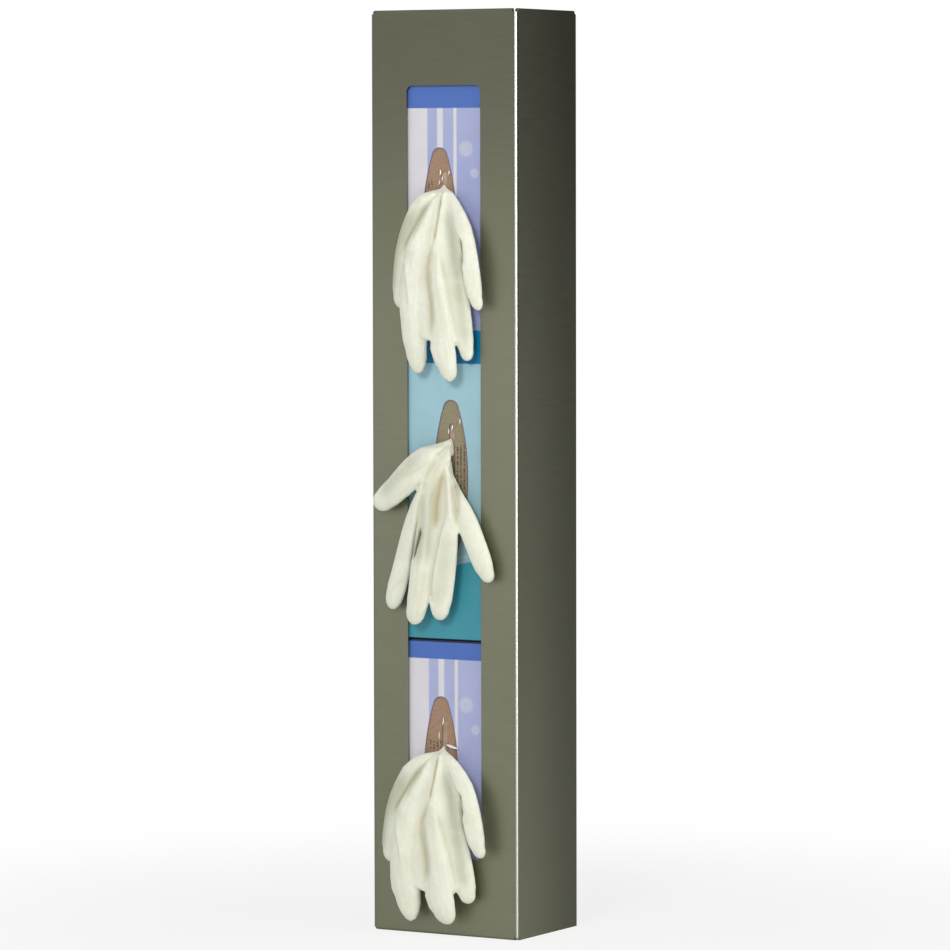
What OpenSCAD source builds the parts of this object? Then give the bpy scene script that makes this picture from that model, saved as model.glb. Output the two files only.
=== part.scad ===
// Upright dispenser for disposable gloves: a folded stainless steel housing with an open
// top and a long front window. Three cartons of gloves stand on end inside it, one above
// the other, and a glove hangs out of the oval outlet of each.
// Millimetres. X to the right, Y to the back, Z up. The origin is the middle of the
// housing's footprint, on the surface that it stands on.

/* [Cartons] */
// Width of a carton
carton_w = 122; // [110:1:130]
// Depth of a carton
carton_d = 92; // [80:1:110]
// Height of the lower carton
lower_h = 243; // [225:1:260]
// Height of the middle carton
middle_h = 256; // [240:1:270]
// Height of the upper carton
upper_h = 243; // [225:1:260]
// Thickness of the carton board
board_t = 0.6; // [0.4:0.1:0.8]
// Outer radius of the carton's folded edges
board_fold_r = 1.6; // [1.2:0.1:2]
// Share of the play between the floor's tabs that the lower carton is pushed to the right
lower_lean = -0.95; // [-0.95:0.05:0.95]
// Share of the side play that the middle carton is pushed to the right
middle_lean = 0.7; // [-0.95:0.05:0.95]
// Share of the side play that the upper carton is pushed to the right
upper_lean = -0.8; // [-0.95:0.05:0.95]

/* [Outlets] */
// Width of the oval outlet
outlet_w = 31.6; // [28:0.1:36]
// Length of the oval outlet
outlet_l = 126; // [120:1:134]
// Radius of the outlet's two ends
outlet_end_r = 7; // [5:0.5:10]
// Height of the outlet's middle above the foot of the lower carton
lower_outlet_rise = 132.5; // [122:0.5:140]
// Height of the outlet's middle above the foot of the middle carton
middle_outlet_rise = 134.6; // [124:0.1:142]
// Height of the outlet's middle above the foot of the upper carton
upper_outlet_rise = 85.6; // [80:0.1:110]
// Thickness of the liner card behind the outlet
liner_t = 0.5; // [0.3:0.1:0.8]
// How far the liner card is glued down past the outlet's edge
liner_lap = 12; // [8:1:14]
// Width of the slit in the liner card
slit_w = 5; // [4.6:0.1:8]
// Length of the slit in the liner card
slit_l = 88; // [80:1:100]
// How far the lower slit lies to the right of its outlet's middle
lower_slit_shift = 3; // [-4:0.5:5]
// How far the middle slit lies to the right of its outlet's middle
middle_slit_shift = 0.5; // [-4:0.5:5]
// How far the upper slit lies to the right of its outlet's middle
upper_slit_shift = 4; // [-4:0.5:5]

/* [Housing] */
// Thickness of the stainless steel sheet
sheet_t = 1.2; // [0.8:0.1:1.5]
// Outer radius of the folds in the sheet
fold_r = 2; // [1.8:0.1:3]
// Play beside a carton, on each side when it stands in the middle
side_play = 6.8; // [5:0.1:10]
// Gap between the front sheet and the cartons
front_gap = 2; // [1.6:0.1:5]
// Gap between the cartons and the rear flanges
rear_gap = 4.4; // [2:0.1:12]
// Free height above the upper carton
head_room = 18.8; // [14:0.1:60]
// Width of the flange that each side turns in behind
flange_w = 14; // [10:1:20]
// Height of the tabs that the floor turns up at its edges
tab_h = 14; // [8:1:25]
// How far the welds of the side tabs run into the sides
weld_depth = 0.2; // [0.1:0.1:0.4]
// Height of the hem along the top edges
hem_h = 10; // [6:1:14]
// Slot inside the folded hem
hem_slot = 0.4; // [0.2:0.1:0.8]
// Gap left between a hem's end and the fold beside it
hem_end_gap = 1.5; // [1:0.1:4]
// Depth of the notch in the top of each corner
corner_notch = 3; // [2.2:0.1:6]

/* [Window] */
// Width of the front window
window_w = 70; // [60:1:90]
// Height of the sheet below the window
window_sill = 64; // [50:1:70]
// Height of the sheet above the window
window_head = 62; // [50:1:90]
// Radius of the window's corners
window_r = 5; // [3:0.5:12]

/* [Back plate] */
// Thickness of the back plate
plate_t = 1.2; // [0.8:0.1:2]
// How far the back plate's edges lie inside the housing's sides
plate_inset = 1.5; // [1:0.1:4]
// Radius of the back plate's corners
plate_corner_r = 3; // [1:0.5:8]
// Diameter of the screw holes
screw_hole_d = 5.5; // [4.5:0.1:7]
// Distance between the screw holes across the plate
screw_pitch_x = 50; // [30:1:60]
// Distance between the screw holes up the plate
screw_pitch_z = 542; // [400:1:600]

/* [Gloves] */
// Thickness of one folded layer in a glove pack
fold_pitch = 4; // [3:0.5:8]
// Gap beside a glove pack, on each side
pack_side_gap = 5; // [2:0.5:10]
// Gap between a glove pack and the liner in front of it
pack_front_gap = 0.8; // [0.5:0.1:3]
// Gap between a glove pack and the carton behind it
pack_rear_gap = 5; // [2:0.5:20]
// Free height above a glove pack
pack_head_gap = 8; // [4:1:20]
// Gap between a gathered glove and the edges of the slit
glove_slit_gap = 0.5; // [0.3:0.1:1]

/* [Hidden] */

LOWER = 0;
MIDDLE = 1;
UPPER = 2;

$fn = 48;
past = 1;                  // how far a cutter runs past what it cuts
glove_sides = 12;          // sides of a glove finger's section
glove_steps = 2;           // rings between two points of a finger's line
glove_tip_rings = 4;       // rings that round a fingertip off
glove_tip_angle = 84;      // how far round the tip the last ring lies

// Housing, from the cartons that it holds
inner_w = carton_w + 2 * side_play;
housing_w = inner_w + 2 * sheet_t;
housing_d = sheet_t + front_gap + carton_d + rear_gap + sheet_t + plate_t;
housing_h = sheet_t + lower_h + middle_h + upper_h + head_room;
front_y = -housing_d / 2;
back_y = housing_d / 2;
plate_front_y = back_y - plate_t;
wrap_d = housing_d - plate_t;
hem_r = sheet_t + hem_slot / 2;
wall_top = housing_h - hem_r;
floor_flat_w = inner_w - 2 * fold_r;
floor_rear_y = plate_front_y - fold_r;
corner_relief = (housing_w - floor_flat_w) / 2;
hem_end = fold_r + hem_end_gap;
fold_lap = sheet_t / 2;
window_h = housing_h - window_sill - window_head;

// Cartons, counted from the bottom
carton_front_y = front_y + sheet_t + front_gap;
carton_h = [lower_h, middle_h, upper_h];
carton_x = [lower_lean * (side_play - sheet_t), middle_lean * side_play, upper_lean * side_play];
carton_z = [sheet_t, sheet_t + lower_h, sheet_t + lower_h + middle_h];
outlet_rise = [lower_outlet_rise, middle_outlet_rise, upper_outlet_rise];
slit_shift = [lower_slit_shift, middle_slit_shift, upper_slit_shift];
liner_back_y = carton_front_y + board_t + liner_t;

// Flank of the four-arc oval: this radius meets both end arcs without a corner
outlet_half = outlet_l / 2 - outlet_end_r;
flank_r = (pow(outlet_half, 2) + pow(outlet_w / 2, 2) - pow(outlet_end_r, 2))
    / (outlet_w - 2 * outlet_end_r);
flank_x = flank_r - outlet_w / 2;
flank_angle = atan2(outlet_half, flank_x);
flank_steps = 24;
end_steps = 16;

// Glove packs
pack_w = carton_w - 2 * board_t - 2 * pack_side_gap;
pack_front_y = liner_back_y + pack_front_gap;
pack_d = carton_front_y + carton_d - board_t - pack_rear_gap - pack_front_y;
pack_layers = round(pack_d / fold_pitch);
layer_t = pack_d / pack_layers;
layer_end_r = 0.6 * layer_t;

// Gathers of the hanging gloves, where they come out of the slits
gather_r = slit_w / 2 - glove_slit_gap;
gather_in = front_y - liner_back_y - pack_front_gap / 2;
gather_out = 2;
gather_l = 14;
gather_top = [23, 31, 33];
root_drop = 1;             // how far below its first point a finger leaves the gather
root_share = 0.8;          // width of a finger there, as a share of the gather's
glove_skin_t = 1;          // both skins of a glove that lies flat
finger_flatness = 0.42;    // half thickness of a full finger over its half width, without its skins
palm_skin_share = 0.78;    // thickness of the palm between two fingers, as a share of theirs

// Fingers of the hanging gloves, from the gather to the tip. Each point is
// [right of the outlet's middle, out from the housing's front, above the outlet's middle,
// half the width there], and the width falls to nothing at the tip.
FINGERS_UPPER = [
    [[4, 3, 28, 2.6], [-7.5, 9, 20, 7], [-19, 11, 2.5, 8.5], [-24, 11, -21, 9.5],
        [-27, 10, -45, 10], [-28, 9, -58, 9], [-30.5, 8, -69, 0]],
    [[4.5, 4, 27, 2.6], [0.5, 11, 12, 5.5], [-6.5, 14, -11, 8.6], [-12, 15, -33, 11.8],
        [-15, 15, -57, 12.6], [-14.5, 14, -84, 12], [-13, 13, -102, 10], [-12.5, 11, -122, 0]],
    [[6, 4, 28.5, 2.6], [9, 12, 12, 5], [8, 16, -16, 7.4], [8, 17, -45, 9.3],
        [11.5, 16, -77, 11.4], [14, 15, -102, 11], [17.5, 14, -116, 8.6], [19, 12, -128, 0]],
    [[7.5, 3, 30.5, 2.6], [16, 9, 13, 6], [19.5, 10, -12, 9.2], [21, 9.5, -41, 9.5],
        [26, 8.5, -65, 9.5], [29, 8, -90, 9], [31.5, 8, -102, 6.8], [33, 7.5, -111, 0]],
    [[8.5, 3, 31, 2.6], [21, 9, 16, 5.6], [32, 12.5, -4, 7.8], [38.5, 14, -27, 7.8],
        [41, 13, -49, 8], [43, 12, -60, 6], [45.5, 10.5, -69.5, 0]]
];
FINGERS_MIDDLE = [
    [[0, 3, 30, 3], [-9, 10, 22.5, 8], [-19.5, 14, 12, 11.6], [-32, 14.5, -1, 12.3],
        [-43, 13.5, -10.5, 11], [-54.5, 12, -19, 9.6], [-64.5, 10.5, -26, 0]],
    [[-0.5, 3, 25, 2.6], [-3, 8, 10, 6], [-12, 10, -8.5, 9], [-23.5, 10, -29, 9.3],
        [-31.5, 9.5, -45.5, 8.2], [-37, 9.5, -65, 8.4], [-42, 9.5, -83, 8.8],
        [-46.5, 9.5, -98, 8.4], [-51, 8.5, -110, 0]],
    [[0, 4, 22, 2.6], [1, 11, 6.5, 6], [-4, 15, -14, 9.6], [-9, 16, -35, 10.8],
        [-12.5, 15.5, -55, 11.4], [-16.5, 15, -76, 11.7], [-20, 14, -94.5, 11],
        [-24, 13, -109.5, 9.2], [-28.5, 11.5, -121.5, 0]],
    [[1, 4, 22, 2.6], [5.5, 11, 6.5, 5], [8.5, 14.5, -13.5, 6.8], [9, 14, -34, 7.4],
        [7.5, 13, -55, 8.2], [4, 12, -74, 9.5], [1, 12, -92, 10], [-2, 11, -105.5, 9],
        [-4.5, 9.5, -117.5, 0]],
    [[2, 3, 12, 2.6], [10, 8, -10, 5.4], [17, 9.5, -24.5, 8.6], [24, 10, -38, 10],
        [30.5, 10, -52.5, 9.8], [36.5, 10, -66.5, 9.5], [41, 9.5, -77, 7.2], [44, 8.5, -84.5, 0]]
];

// The lower glove hangs like the upper one, but spread wider, shorter and leaning
lower_spread = 1.17;
lower_drop = 0.9;
lower_skew = 0.12;
lower_offset = [-5, 2, -9];
FINGERS_LOWER = [for (finger = FINGERS_UPPER) [for (p = finger) [
    lower_spread * p[0] + lower_offset[0],
    p[1] + lower_offset[1],
    lower_drop * p[2] + lower_skew * p[0] + lower_offset[2],
    1.08 * p[3]
]]];
FINGERS = [FINGERS_LOWER, FINGERS_MIDDLE, FINGERS_UPPER];

// How far down the palm joins each finger to the next one, in stretches of their lines
PALM_STRETCHES = [[3, 5, 5, 2], [2, 3, 6, 2], [3, 5, 5, 2]];

// Item i of a list, or the nearest one that it has
function item(list, i) = list[max(0, min(len(list) - 1, i))];

// Points along an arc, without its last one
function arc(centre, r, from, to, steps) = [
    for (k = [0:steps - 1])
        let (a = from + (to - from) * k / steps)
            centre + r * [cos(a), sin(a)]
];

// Half the thickness of a finger that is so wide
function finger_half_t(half_w) = finger_flatness * half_w + glove_skin_t;

function place(s) = [s[0], s[1], s[2]];
function unit(v) = v / norm(v);

// Point at the share t of the way from b to c, on the smooth curve through a, b, c and d
function curve_point(a, b, c, d, t) = 0.5 * (2 * b + (c - a) * t
    + (2 * a - 5 * b + 4 * c - d) * pow(t, 2) + (3 * b - a - 3 * c + d) * pow(t, 3));

// Stations along a finger, each a point, a half width and a half thickness
function finger_body(p, last) = [
    for (i = [0:last - 1], k = [0:glove_steps - 1])
        let (s = curve_point(item(p, i - 1), p[i], p[i + 1], item(p, i + 2), k / glove_steps))
            concat(s, [finger_half_t(s[3])])
];

// Stations that round the finger off, from its last full width to its tip
function finger_tip(full, end) = [
    for (k = [0:glove_tip_rings])
        let (a = glove_tip_angle * k / glove_tip_rings)
            concat(place(full) + (place(end) - place(full)) * sin(a),
                [full[3] * cos(a), finger_half_t(full[3]) * cos(a)])
];

function stations(p) = let (last = len(p) - 2)
    concat(finger_body(p, last), finger_tip(p[last], p[last + 1]));

// Oval ring of points at station i, square to the finger's line
function ring(s, i) = let (
    ahead = unit(place(item(s, i + 1)) - place(item(s, i - 1))),
    across = unit([1, 0, 0] - ahead[0] * ahead),
    through = cross(ahead, across)
) [
    for (k = [0:glove_sides - 1])
        let (a = 360 * k / glove_sides)
            place(s[i]) + across * s[i][3] * cos(a) + through * s[i][4] * sin(a)
];

// Rectangle with round corners, in the middle of its plane
module round_rect(w, d, r) {
    square([w - 2 * r, d], center = true);
    square([w, d - 2 * r], center = true);
    for (x = [-1, 1], y = [-1, 1])
        translate([x * (w / 2 - r), y * (d / 2 - r)])
            circle(r);
}

// Upright strip with round ends, in the middle of its plane
module round_strip(w, l) {
    square([w, l - w], center = true);
    for (y = [-1, 1])
        translate([0, y * (l - w) / 2])
            circle(w / 2);
}

// Moves a profile drawn in Y and Z along X, over the length given
module along_x(length) {
    rotate([90, 0, 90])
        linear_extrude(length, center = true)
            children();
}

// Moves a profile drawn in X and Z back along Y, over the length given
module along_y(length) {
    translate([0, length, 0])
        rotate([90, 0, 0])
            linear_extrude(length)
                children();
}

// Quarter of a folded sheet's section, below and left of the fold's middle. Its ends run a
// little way into the flat sheet beside them.
module quarter_fold() {
    intersection() {
        difference() {
            circle(fold_r);
            circle(fold_r - sheet_t);
        }
        translate([-fold_r, -fold_r])
            square(fold_r);
    }
    translate([0, -fold_r])
        square([fold_lap, sheet_t]);
    translate([-fold_r, 0])
        square([sheet_t, fold_lap]);
}

// Section of the hem: the sheet turned over and down, its outer face at zero
module hem_section() {
    translate([hem_r, -hem_r])
        difference() {
            circle(hem_r);
            circle(hem_slot / 2);
            translate([-2 * hem_r, -2 * hem_r])
                square([4 * hem_r, 2 * hem_r]);
        }
    translate([sheet_t + hem_slot, -hem_h])
        square([sheet_t, hem_h - hem_r]);
    translate([0, -hem_h])
        square([sheet_t, hem_h - hem_r]);
}

// Front, sides and rear flanges, folded from one sheet
module walls() {
    difference() {
        translate([0, -plate_t / 2, 0])
            linear_extrude(wall_top)
                difference() {
                    round_rect(housing_w, wrap_d, fold_r);
                    round_rect(inner_w, wrap_d - 2 * sheet_t, fold_r - sheet_t);
                    translate([0, wrap_d / 2])
                        square([housing_w - 2 * flange_w, 4 * sheet_t], center = true);
                }
        translate([-housing_w, front_y - past, -past])
            cube([2 * housing_w, past + corner_relief, past + fold_r]);
        translate([0, front_y - past, window_sill + window_h / 2])
            along_y(sheet_t + 2 * past)
                round_rect(window_w, window_h, window_r);
        for (x = [-1, 1], y = [front_y, plate_front_y])
            translate([x * housing_w / 2, y, housing_h])
                cube([2 * hem_end, 2 * hem_end, 2 * corner_notch], center = true);
    }
}

// Floor: folded back from the front, with a tab turned up at each side and at the rear
module floor_pan() {
    along_x(floor_flat_w)
        translate([front_y + fold_r, fold_r])
            quarter_fold();
    translate([0, front_y + fold_r, 0])
        along_y(floor_rear_y - front_y - fold_r)
            translate([-floor_flat_w / 2, 0])
                square([floor_flat_w, sheet_t]);
    for (side = [0, 1])
        mirror([side, 0, 0])
            translate([0, front_y + corner_relief, 0])
                along_y(floor_rear_y - front_y - corner_relief) {
                    translate([-floor_flat_w / 2, fold_r])
                        quarter_fold();
                    translate([-inner_w / 2 - weld_depth, fold_r])
                        square([sheet_t + weld_depth, tab_h - fold_r]);
                }
    along_x(housing_w - 2 * flange_w - 2 * hem_end_gap)
        mirror([1, 0])
            translate([-floor_rear_y, fold_r]) {
                quarter_fold();
                translate([-fold_r, 0])
                    square([sheet_t, tab_h - fold_r]);
            }
}

module housing() {
    color("#6c6c5c")
        union() {
            walls();
            floor_pan();
            translate([0, front_y, housing_h])
                along_x(housing_w - 2 * hem_end)
                    hem_section();
            for (side = [0, 1])
                mirror([side, 0, 0])
                    translate([-housing_w / 2, front_y + hem_end, housing_h])
                        along_y(wrap_d - 2 * hem_end)
                            hem_section();
        }
}

module back_plate() {
    color("#74746a")
        difference() {
            translate([0, plate_front_y, wall_top / 2])
                along_y(plate_t)
                    round_rect(housing_w - 2 * plate_inset, wall_top, plate_corner_r);
            for (x = [-1, 1], z = [-1, 1])
                translate([x * screw_pitch_x / 2, plate_front_y - past, housing_h / 2 + z * screw_pitch_z / 2])
                    rotate([-90, 0, 0])
                        cylinder(d = screw_hole_d, h = plate_t + 2 * past);
        }
}

// Box of a carton's size, standing on its foot, with all its edges folded round
module carton_block(w, d, h, r) {
    intersection() {
        linear_extrude(h)
            translate([0, d / 2])
                round_rect(w, d, r);
        translate([0, d / 2, h / 2])
            along_x(w)
                round_rect(d, h, r);
        translate([0, 0, h / 2])
            along_y(d)
                round_rect(w, h, r);
    }
}

// Oval of four arcs, upright
module outlet_oval() {
    polygon([
        each arc([-flank_x, 0], flank_r, -flank_angle, flank_angle, flank_steps),
        each arc([0, outlet_half], outlet_end_r, flank_angle, 180 - flank_angle, end_steps),
        each arc([flank_x, 0], flank_r, 180 - flank_angle, 180 + flank_angle, flank_steps),
        each arc([0, -outlet_half], outlet_end_r, 180 + flank_angle, 360 - flank_angle, end_steps)
    ]);
}

module carton(i) {
    translate([carton_x[i], carton_front_y, carton_z[i]])
        difference() {
            carton_block(carton_w, carton_d, carton_h[i], board_fold_r);
            translate([0, board_t, board_t])
                carton_block(carton_w - 2 * board_t, carton_d - 2 * board_t,
                    carton_h[i] - 2 * board_t, board_fold_r - board_t);
            translate([0, -past, outlet_rise[i]])
                along_y(board_t + 2 * past)
                    outlet_oval();
        }
}

module outlet_liner(i) {
    translate([carton_x[i], carton_front_y + board_t, carton_z[i] + outlet_rise[i]])
        difference() {
            along_y(liner_t)
                square([outlet_w + 2 * liner_lap, outlet_l + 2 * liner_lap], center = true);
            translate([slit_shift[i], -past, 0])
                along_y(liner_t + 2 * past)
                    round_strip(slit_w, slit_l);
        }
}

// Folded gloves, one layer behind the other
module glove_pack(i) {
    translate([carton_x[i], pack_front_y, carton_z[i] + board_t])
        linear_extrude(carton_h[i] - 2 * board_t - pack_head_gap)
            difference() {
                union() {
                    translate([-pack_w / 2 + layer_end_r, 0])
                        square([pack_w - 2 * layer_end_r, pack_d]);
                    for (x = [-1, 1], k = [0:pack_layers - 1])
                        translate([x * (pack_w / 2 - layer_end_r), (k + 0.5) * layer_t])
                            circle(layer_end_r);
                }
                for (y = [-1, pack_layers])
                    translate([-pack_w, y * layer_t])
                        square([2 * pack_w, layer_t]);
            }
}

// One finger with its share of the palm, from the gather to the tip
module finger(points, slit_x) {
    root = [slit_x, 0, points[0][2] - root_drop, root_share * gather_r];
    line = stations(concat([root], points));
    last = len(line) - 1;
    sides = [
        for (i = [0:last - 1], k = [0:glove_sides - 1])
            let (next = (k + 1) % glove_sides) [
                i * glove_sides + k, (i + 1) * glove_sides + k,
                (i + 1) * glove_sides + next, i * glove_sides + next
            ]
    ];
    root_face = [for (k = [0:glove_sides - 1]) k];
    tip_face = [for (k = [0:glove_sides - 1]) (last + 1) * glove_sides - 1 - k];
    polyhedron([for (i = [0:last]) each ring(line, i)], concat(sides, [root_face, tip_face]));
}

// Skin of the palm between two neighbouring fingers, over so many stretches of their lines
module palm_web(left, right, stretches) {
    for (k = [0:stretches - 1])
        hull()
            for (p = [left[k], left[k + 1], right[k], right[k + 1]])
                translate(place(p))
                    sphere(palm_skin_share * finger_half_t(p[3]), $fn = 12);
}

module glove(i) {
    translate([carton_x[i], front_y, carton_z[i] + outlet_rise[i]])
        mirror([0, 1, 0]) {
            translate([slit_shift[i], gather_in, gather_top[i] - gather_l / 2])
                along_y(gather_out - gather_in)
                    round_strip(2 * gather_r, gather_l, $fn = 24);
            for (points = FINGERS[i])
                finger(points, slit_shift[i]);
            for (f = [1:len(FINGERS[i]) - 1])
                palm_web(FINGERS[i][f - 1], FINGERS[i][f], PALM_STRETCHES[i][f - 1]);
        }
}

module carton_lower() {
    color("#b7b9d8") carton(LOWER);
}

module carton_middle() {
    color("#5fa6b3") carton(MIDDLE);
}

module carton_upper() {
    color("#b7b9d8") carton(UPPER);
}

module outlet_liner_lower() {
    color("#a5826e") outlet_liner(LOWER);
}

module outlet_liner_middle() {
    color("#96826e") outlet_liner(MIDDLE);
}

module outlet_liner_upper() {
    color("#a5826e") outlet_liner(UPPER);
}

module glove_pack_lower() {
    color("#e4e4d6") glove_pack(LOWER);
}

module glove_pack_middle() {
    color("#e4e4d6") glove_pack(MIDDLE);
}

module glove_pack_upper() {
    color("#e4e4d6") glove_pack(UPPER);
}

module glove_lower() {
    color("#eeeedd") glove(LOWER);
}

module glove_middle() {
    color("#eeeedd") glove(MIDDLE);
}

module glove_upper() {
    color("#eeeedd") glove(UPPER);
}

housing();
back_plate();
carton_lower();
carton_middle();
carton_upper();
outlet_liner_lower();
outlet_liner_middle();
outlet_liner_upper();
glove_pack_lower();
glove_pack_middle();
glove_pack_upper();
glove_lower();
glove_middle();
glove_upper();
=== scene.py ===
"""Looks of a folded stainless dispenser for disposable gloves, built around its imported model.

The dispenser stands on the floor at the origin: X to the right, Y to the back, Z up, in metres.
"""

import math
from collections import namedtuple

import bmesh
import bpy
import numpy as np
from mathutils import Matrix, Vector
from mathutils.noise import noise as noise_at


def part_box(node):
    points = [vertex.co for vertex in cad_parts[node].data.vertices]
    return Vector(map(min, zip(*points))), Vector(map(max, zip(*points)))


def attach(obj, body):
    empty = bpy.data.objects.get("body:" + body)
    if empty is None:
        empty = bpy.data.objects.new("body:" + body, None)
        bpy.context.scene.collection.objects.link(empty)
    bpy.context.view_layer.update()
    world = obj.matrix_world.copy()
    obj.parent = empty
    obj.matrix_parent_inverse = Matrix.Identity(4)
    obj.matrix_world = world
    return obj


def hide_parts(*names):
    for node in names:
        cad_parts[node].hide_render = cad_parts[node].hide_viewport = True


bl_info = {
    "name": "Glove Dispenser",
    "version": (1, 0, 0),
    "blender": (4, 5, 0),
    "location": "3D View > Sidebar > Dispenser",
    "description": "Dresses a folded steel glove dispenser: sheet, cartons, liners and gloves",
    "category": "Object",
}

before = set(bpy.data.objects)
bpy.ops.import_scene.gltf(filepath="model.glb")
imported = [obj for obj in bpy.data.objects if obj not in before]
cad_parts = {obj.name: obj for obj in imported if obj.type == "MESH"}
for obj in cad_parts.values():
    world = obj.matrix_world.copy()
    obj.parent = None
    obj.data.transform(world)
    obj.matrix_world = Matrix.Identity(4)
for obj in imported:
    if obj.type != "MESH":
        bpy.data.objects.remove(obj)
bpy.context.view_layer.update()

MM = 0.001
BODY = "root"
LEVELS = ("lower", "middle", "upper")
STRIPED = ("lower", "upper")
EDGE_SOFT = 0.35 * MM


# ---------------------------------------------------------------- sizes the frame doesn't give

# The oval outlet of a carton, from its middle: two flanks and two round ends
OUTLET_W = 31.6 * MM
OUTLET_L = 126 * MM
END_R = 7 * MM
END_Z = OUTLET_L / 2 - END_R
FLANK_R = (END_Z ** 2 + (OUTLET_W / 2) ** 2 - END_R ** 2) / (OUTLET_W - 2 * END_R)
FLANK_X = FLANK_R - OUTLET_W / 2
RIM_W = 0.9 * MM
RIM_CORE = 0.4
FLANK_STEPS = 30
END_STEPS = 10
BOARD_T = 0.6 * MM

# Print on the cartons: x from the middle, z above the foot
LAVENDER_STRIPES = ((-11.6, -2.3), (3.2, 13.2), (16.2, 60))
STRIPE_SOFT = 0.5 * MM
BAND_FOOT = {"lower": 227, "upper": 181.3}
BUBBLES = {
    "lower": ((24, 190, 8), (-29, 204, 6), (33, 170, 5)),
    "upper": ((25, 148, 8), (-30, 160, 6), (33, 128, 5)),
}
DISC_CORE = 0.6
DISC_STRENGTH = 0.42
DEEP_BAND_FOOT = 228
WAVE_Z = 61
WAVE_RISE = 5
WAVE_LENGTH = 118
WAVE_LINE_Z = 4
WAVE_LINE_W = 1.6
WAVE_LINE_SHARE = 0.5
WAVE_SOFT = 0.8 * MM

# The print covers the front face alone, and fades out within this depth behind it
PRINT_DEPTH = (0.2 * MM, 0.6 * MM)

# Painted shadow in the joint of the lower and the middle carton: from and to this height
# above each foot, and the depth within which it fades out
JOINT_SHADOW_SPANS = {"lower": (241, 250), "middle": (-5, 1.0)}
JOINT_SHADOW_DEPTH = (3 * MM, 5 * MM)

# Wear along a carton's upright folds: from full to none at these distances, and its share
WORN_REACH = (0.5 * MM, 1.6 * MM)
WORN_SHARE = 0.55

# Ticks on the liners: left, right, foot and top from the outlet's middle, and the columns
TICK_FIELDS = {
    "lower": (-12, 8, 19, 27, 6),
    "middle": (1.3, 13.9, -10.3, 26.4, 4),
    "upper": (-12, -6, 30, 36, 2),
}
TICK_STROKE = (0.24, 0.36)
TICK_RATE = 520
TICK_GAPS = (0.44, 0.52)
TICK_SOFT = 0.8 * MM

# Shade that the board throws on a liner's flanks: where it begins and ends, and its share
FLANK_SHADE_REACH = (8 * MM, 16 * MM)
FLANK_SHADE_SHARE = 0.35
FIBRE_RANGE = (0.35, 0.7)
FIBRE_DEPTH = 0.72
SPECK_SHARE = 0.35

# Colours that no setting changes
BOARD_EDGE = (0.62, 0.63, 0.68)
# Dark outlet rim: partly the torn board edge, partly painted shade
RIM_EDGE_AND_SHADE_COLOUR = (0.135, 0.115, 0.150)
LAVENDER_FOOT = (0.305, 0.340, 0.600)
SKY_FOOT = (0.300, 0.470, 0.530)
# Painted shadow in the joint of the lower and the middle carton
JOINT_SHADOW_COLOUR = (0.006, 0.008, 0.030)
WAVE_LINE_COLOUR = (0.42, 0.66, 0.70)
LINER_COLOURS = {
    "lower": (0.412, 0.258, 0.165),
    "middle": (0.325, 0.278, 0.172),
    "upper": (0.408, 0.258, 0.168),
}
LINER_SPECK = (0.16, 0.09, 0.05)
LINER_SHADE = (0.20, 0.12, 0.08)
TICK_COLOUR = (0.075, 0.042, 0.035)
LATEX_DULL = (0.680, 0.685, 0.540)
LATEX_SHADE = (0.450, 0.470, 0.350)
# Painted shadow inside the gaps between a glove's fingers
LATEX_GAP_SHADOW = (0.060, 0.090, 0.065)

# Finishes that wander between two colours and two roughnesses over a slight relief: the
# noise's turns a metre along X, Y and Z, the colours, the roughnesses, the relief's depth
# and strength, and how metallic the finish is
Finish = namedtuple("Finish", "turns colours roughness relief metallic")
FINISHES = {
    # The gloves still folded in a carton: their layered edges, their cream painted down to the card's
    # tan as shade behind the liner
    "packed_latex": Finish((40, 700, 60), ((0.35, 0.25, 0.16), (0.55, 0.42, 0.29)),
                           (0.5, 0.62), (0.4 * MM, 0.5), 0.0),
    # Clear film torn along a slit, painted opaque near-white as glints, so that it shows as bright
    # slivers
    "torn_film": Finish((500, 500, 180), ((0.80, 0.80, 0.84), (0.93, 0.93, 0.95)),
                        (0.08, 0.2), (0.1 * MM, 0.4), 0.0),
    # Spot welds: the plate's steel, heat-tinted and duller
    "weld_marks": Finish((700, 700, 700), ((0.12, 0.105, 0.075), (0.21, 0.195, 0.15)),
                         (0.4, 0.55), (0.05 * MM, 0.5), 1.0),
}

# Parts of a noise's range that are carried over to a finish's own range
USUAL = (0.3, 0.7)
WIDE = (0.25, 0.75)
NARROW = (0.35, 0.65)

# Noises of the shared effects and of the latex: their turns a metre
STREAK_DETAIL = {"detail": 3.0, "roughness": 0.62}
CLOUD_TURNS = 11.0
CLOUD_STRETCH = (1, 1, 0.55)
MOTTLE_TURNS = 900.0
PATCH_TURNS = 60.0
PATCH_SHARE = 0.4
WAVE_TURNS = 18.0
FIBRE_STRETCH = (1500, 1500, 380)
SPECK_TURNS = 420.0
SPECK_RANGE = (0.60, 0.74)
SKIN_CLOUD_TURNS = 55.0
SKIN_MOTTLE_STRETCH = (420, 420, 260)
SKIN_WRINKLE_STRETCH = (260, 260, 120)
SKIN_GRAIN_TURNS = 1400.0

# Reliefs that those noises make: depth and strength
STREAK_RELIEF = (0.02 * MM, 0.12)
BOARD_WAVE_RELIEF = (0.6 * MM, 0.5)
MOTTLE_RELIEF = (0.02 * MM, 0.3)
FIBRE_RELIEF = (0.06 * MM, 0.6)
SKIN_WRINKLE_RELIEF = (0.5 * MM, 0.5)
SKIN_GRAIN_RELIEF = (0.03 * MM, 0.5)

# Painted shade on the steel: where the sheet begins to darken toward its top, and the level
# that its front and its sides have reached there. The sides darken toward the rear too.
SHADE_FROM_Z = 450 * MM
FRONT_TOP_SHADE = 0.56
SIDE_TOP_SHADE = 0.76
REAR_SHADE = 0.60
SIDE_SKIN = (1.2 * MM, 0.2 * MM)

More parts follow.
